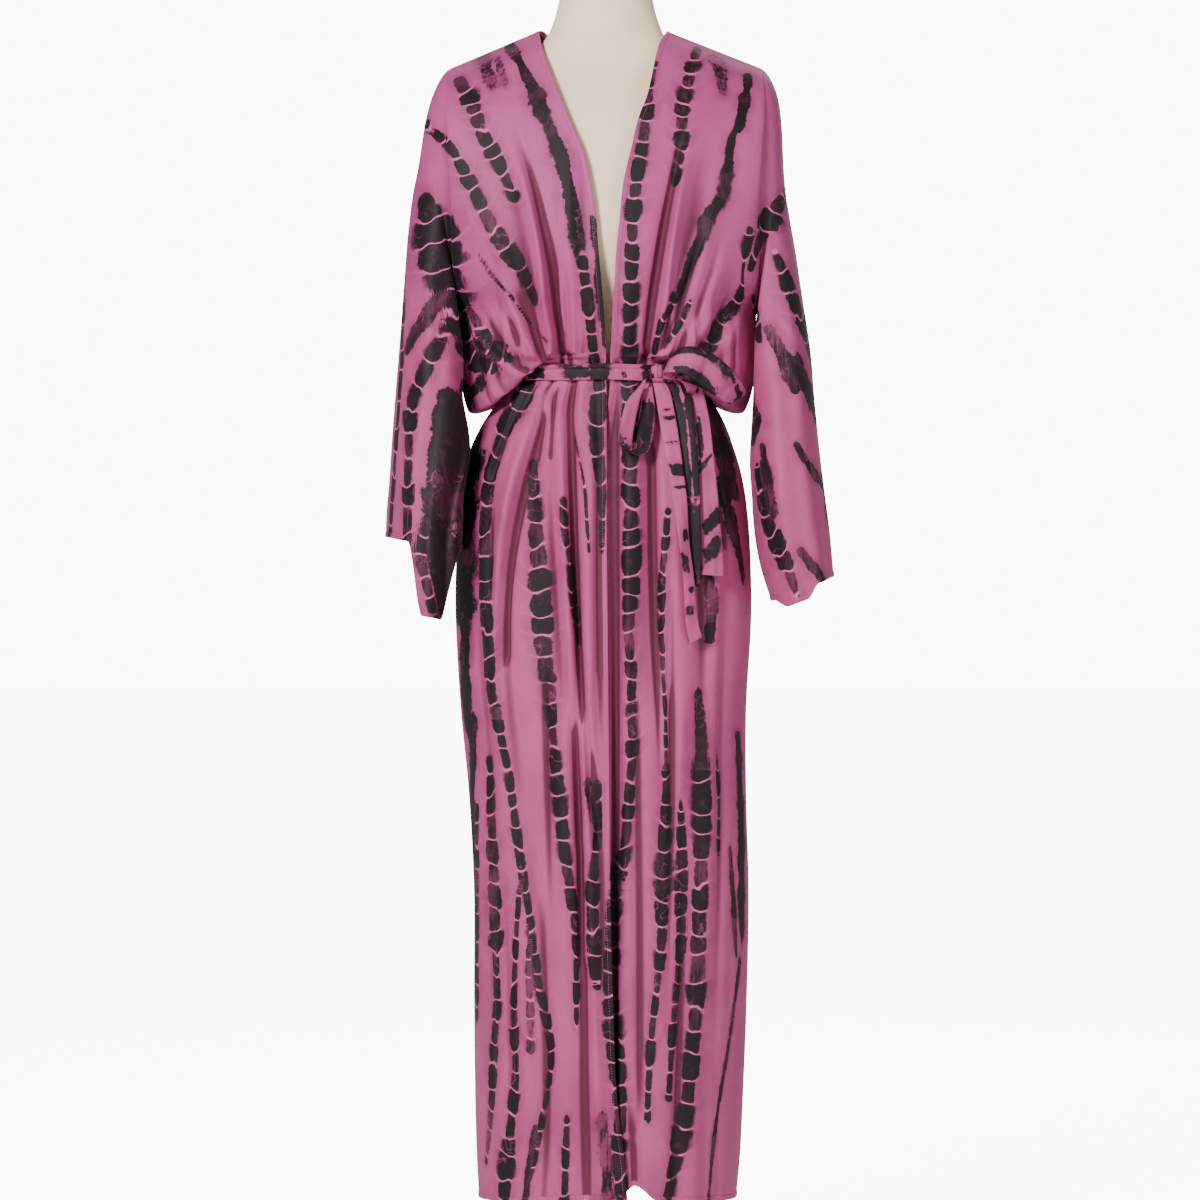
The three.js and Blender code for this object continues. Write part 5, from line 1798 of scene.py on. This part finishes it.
    def build(self) -> None:
        """Makes the whole belt."""
        front = ["front_right"]
        dark_run = self.ribbon("tail_long_under", DARK_RUN, [
            Blot(80, 96, -0.5, 0.55), Blot(80, 96, 0.66, 0.42), Blot(215, 60)])
        plan = [
            (self.band(), ["belt_band"], (0.026, 0.66), ["front_left", "front_right", "back_panel"]),
            (self.knot(), ["belt_knot"], (0.03, 0.03), ["belt_strip"]),
            (self.ribbon("loop_left", LEFT_LOOP, [Blot(8, 5), Blot(152, 48, -0.15, 0.95)]),
             ["bow_loop_left"], (0.02, 0.2), ["belt_wrap"]),
            (self.ribbon("loop_right", RIGHT_LOOP, [
                Blot(50, 52, 0.78, 0.3), Blot(66, 34, -0.8, 0.34), Blot(8, 6, 0.4, 0.7),
                Blot(150, 34, -0.2, 0.9), Blot(206, 6, 0.2, 0.6)]),
             ["bow_loop_right"], (0.026, 0.2), ["belt_wrap"]),
            (self.ribbon("tail_long", LONG_TAIL, [
                Blot(44, 1.4, 0.2, 0.4), Blot(55, 2.4, 0.3, 0.6), Blot(86, 1.8, 0, 0.9),
                Blot(119, 7, 0.2, 0.8), Blot(140, 3, 0.1, 1.2), Blot(196, 7, 0.4, 0.5),
                Blot(232, 10, -0.3, 0.6), Blot(262, 4, 0.2, 0.5), Blot(286, 5, -0.2, 0.6)]),
             ["belt_tail_long"], (0.018, 0.32), front),
            (dark_run, [], (0.018, 0.26), front),
            (self.ribbon("tail_short", SHORT_TAIL, [
                Blot(60, 9, 0.3, 0.45), Blot(116, 26, -0.45, 0.38), Blot(151, 4, 0.2, 0.9),
                Blot(224, 9, 0.1, 0.9), Blot(256, 11, 0, 0.9)]),
             ["belt_tail_short"], (0.024, 0.27), front),
        ]
        for piece, nodes, flat, held in plan:
            self.wardrobe.dress(piece, self.wardrobe.crepe, "dyed_cloth", *nodes)
            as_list(held)


FORM = Table("z half front back", [
    (804, 120, 72, 74),
    (812, 148, 88, 92),
    (860, 160, 97, 104),
    (920, 160, 98, 107),
    (980, 152, 90, 101),
    (1040, 132, 79, 88),
    (1075, 112, 72, 76),
    (1101, 107, 70, 70),
    (1130, 112, 74, 74),
    (1180, 136, 88, 82),
    (1220, 153, 104, 87),
    (1260, 163, 112, 91),
    (1310, 168, 108, 94),
    (1360, 172, 98, 93),
    (1400, 174, 86, 88),
    (1428, 172, 73, 78),
    (1448, 160, 60, 68),
    (1466, 140, 50, 62),
    (1482, 110, 47, 58),
    (1496, 82, 47, 56),
    (1512, 69, 50, 55),
    (1540, 59, 50, 53),
    (1570, 54, 50, 51),
    (1588, 52, 50, 50),
])


@dataclass
class DressForm:
    """The padded torso with its neck, the cap, the pole and the base."""

    wardrobe: Wardrobe
    around: int = 128
    rows: int = 230
    seam_z: float = 1478.0
    seam_dip: float = 26.0

    def torso_point(self, u: Array, t: Array) -> Array:
        """Points of the torso, with a stitched seam round the neck's foot."""
        v = (1 - t) * FORM.last
        a = 2 * np.pi * u + np.pi / 2
        deep = np.where(np.sin(a) < 0, FORM.read("front", v), FORM.read("back", v))
        z = FORM.read("z", v)
        towards = np.maximum(0, -np.sin(a)) ** 2
        line = self.seam_z + 34 - (self.seam_dip + 8) * towards
        groove = 0.8 * np.exp(-(((z - line) / 1.8) ** 2))
        half = FORM.read("half", v) - groove
        return np.stack([half * np.cos(a), (deep - groove) * np.sin(a), z], axis=-1)

    def torso(self) -> bpy.types.Object:
        """Makes the covered torso, closed at both ends."""
        bm, _ = grid_mesh(grid(self.torso_point, self.around, self.rows))
        bmesh.ops.remove_doubles(bm, verts=bm.verts, dist=1e-6)
        rims = [edge for edge in bm.edges if edge.is_boundary]
        bmesh.ops.holes_fill(bm, edges=rims, sides=0)
        for face in bm.faces:
            face.smooth = len(face.verts) < 5
        bmesh.ops.recalc_face_normals(bm, faces=bm.faces)
        return finish_mesh(bm, "torso_cover")

    def turned(self, name: str, profile: list[tuple[float, float]], steps: int) -> bpy.types.Object:
        """Turns a profile round the pole's middle line.

        Args:
            name: the piece's name.
            profile: radius and height of each point, from the bottom up.
            steps: how many steps round.

        Returns:
            The piece.
        """
        bm = bmesh.new()
        verts = [bm.verts.new((radius * MM, 0, z * MM)) for radius, z in profile]
        edges = [bm.edges.new(pair) for pair in zip(verts[:-1], verts[1:])]
        bmesh.ops.spin(
            bm, geom=[*verts, *edges], cent=(0, 0, 0), axis=(0, 0, 1), angle=2 * math.pi,
            steps=steps, use_merge=True,
        )
        bmesh.ops.remove_doubles(bm, verts=bm.verts, dist=1e-6)
        bmesh.ops.recalc_face_normals(bm, faces=bm.faces)
        for face in bm.faces:
            face.smooth = True
        piece = finish_mesh(bm, name)
        bevel = piece.modifiers.new("soft_edge", "BEVEL")
        bevel.width = 1.2 * MM
        bevel.segments = 3
        bevel.limit_method = "ANGLE"
        return piece

    def build(self) -> None:
        """Makes the form and its stand."""
        wardrobe = self.wardrobe
        torso = self.torso()
        wardrobe.dress(torso, wardrobe.jersey, "form_cover", "form_torso")
        cap = self.turned("neck_cap", [
            (0, 1588.3), (53, 1588.3), (53, 1594), (52.2, 1597.5), (49.5, 1600.5), (45, 1602),
            (20, 1602.6), (13, 1604), (11.5, 1607), (14.5, 1611), (15, 1614), (12.5, 1617),
            (7, 1618), (0, 1618)], 96)
        wardrobe.dress(cap, wardrobe.wood, "stand_wood", "form_neck_cap")
        pole = self.turned("pole", [(0, 44.3), (17, 44.3), (17, 803.7), (0, 803.7)], 64)
        wardrobe.dress(pole, wardrobe.wood, "stand_wood", "form_pole")
        base = self.turned("round_base", [
            (0, 0), (186, 0), (189, 1.5), (190, 4), (190, 14), (188.5, 18), (184, 21.2),
            (180, 22), (60, 23.5), (40, 24.6), (34, 26.8), (31, 30), (30, 34), (28.6, 41),
            (26, 44), (0, 44)], 160)
        wardrobe.dress(base, wardrobe.wood, "stand_wood", "form_base")


@dataclass
class Studio:
    """The camera, the floor and the soft lights."""

    camera_x: float = -0.0072
    camera_z: float = 0.830
    distance: float = 6.0
    lens: float = 149.5
    soft: float = 0.21
    backdrop: float = 11.0

    def build(self) -> None:
        """Makes the studio."""
        shot = bpy.data.cameras.new("shot")
        shot.lens = self.lens
        shot.sensor_width = 36.0
        camera = bpy.data.objects.new("shot", shot)
        camera.location = (self.camera_x, -self.distance, self.camera_z)
        camera.rotation_euler = (math.pi / 2, 0, 0)
        bpy.context.scene.collection.objects.link(camera)
        bpy.context.scene.camera = camera
        self.floor()
        self.light("key", (-1.9, -3.8, 2.9), 0.9, 310)
        self.light("fill", (3.0, -2.8, 1.7), 1.6, 58)
        self.light("rear", (0.6, 3.4, 3.0), 2.6, 110)
        shop = Shop("studio", world=True)
        lit, seen = (
            shop.node("ShaderNodeBackground", {}, {"Color": WHITE, "Strength": strength})
            for strength in (self.soft, self.backdrop)
        )
        shop.node("ShaderNodeOutputWorld", {}, {"Surface": shop.to_camera(lit, seen)})
        bpy.context.scene.world = shop.made

    def floor(self) -> None:
        """Makes the plain pale floor."""
        bm = bmesh.new()
        bmesh.ops.create_circle(bm, cap_ends=True, radius=40.0, segments=96)
        piece = finish_mesh(bm, "floor")
        shop = Shop("pale_floor")
        tone = shop.noise(shop.place(), 3.0, 2.0)
        colour = shop.blend(tone, (0.86, 0.86, 0.86), (0.9, 0.9, 0.9))
        matt = {"Base Color": colour, "Roughness": 0.9}
        glow = {"Emission Color": WHITE, "Emission Strength": self.backdrop - 0.9}
        plain, bright = (
            shop.node("ShaderNodeBsdfPrincipled", {}, inputs) for inputs in (matt, {**matt, **glow})
        )
        shop.node("ShaderNodeOutputMaterial", {}, {"Surface": shop.to_camera(plain, bright)})
        piece.data.materials.append(shop.made)

    def light(self, name: str, place: Place, size: float, power: float) -> None:
        """Adds a soft square light that faces the robe's middle."""
        lamp = bpy.data.lights.new(name, "AREA")
        lamp.size = size
        lamp.energy = power
        made = bpy.data.objects.new(name, lamp)
        made.location = place
        aim = np.array([0.0, 0.0, 0.9]) - np.array(place)
        flat = math.hypot(aim[0], aim[1])
        made.rotation_euler = (math.atan2(flat, -aim[2]), 0, math.atan2(aim[1], aim[0]) - math.pi / 2)
        bpy.context.scene.collection.objects.link(made)


def main() -> None:
    """Builds the studio, the form, the robe with its sleeves, and its belt, in that order."""
    logging.basicConfig(level=logging.INFO, format="%(name)s %(message)s")
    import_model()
    wardrobe = Wardrobe()
    Studio().build()
    DressForm(wardrobe).build()
    hems = Hems(wardrobe)
    Robe(wardrobe, hems).build()
    Sleeve(wardrobe, hems, LEFT, LEFT_RINGS, [
        SleeveFold(72, 16, 7, 2), SleeveFold(134, 17, -22, 5), SleeveFold(100, 12, 6, 5),
        SleeveFold(-60, 18, 7, 4), SleeveFold(-105, 16, 6, 4),
    ], (72, 92, 124, 166)).build()
    Sleeve(wardrobe, hems, RIGHT, RIGHT_RINGS, [
        SleeveFold(60, 14, 6, 3), SleeveFold(104, 16, 7, 5), SleeveFold(-70, 18, 6, 4),
        SleeveFold(-115, 16, 6, 4),
    ], (66, 86, 118, 160)).build()
    Belt(wardrobe).build()


if __name__ == "__main__":
    main()
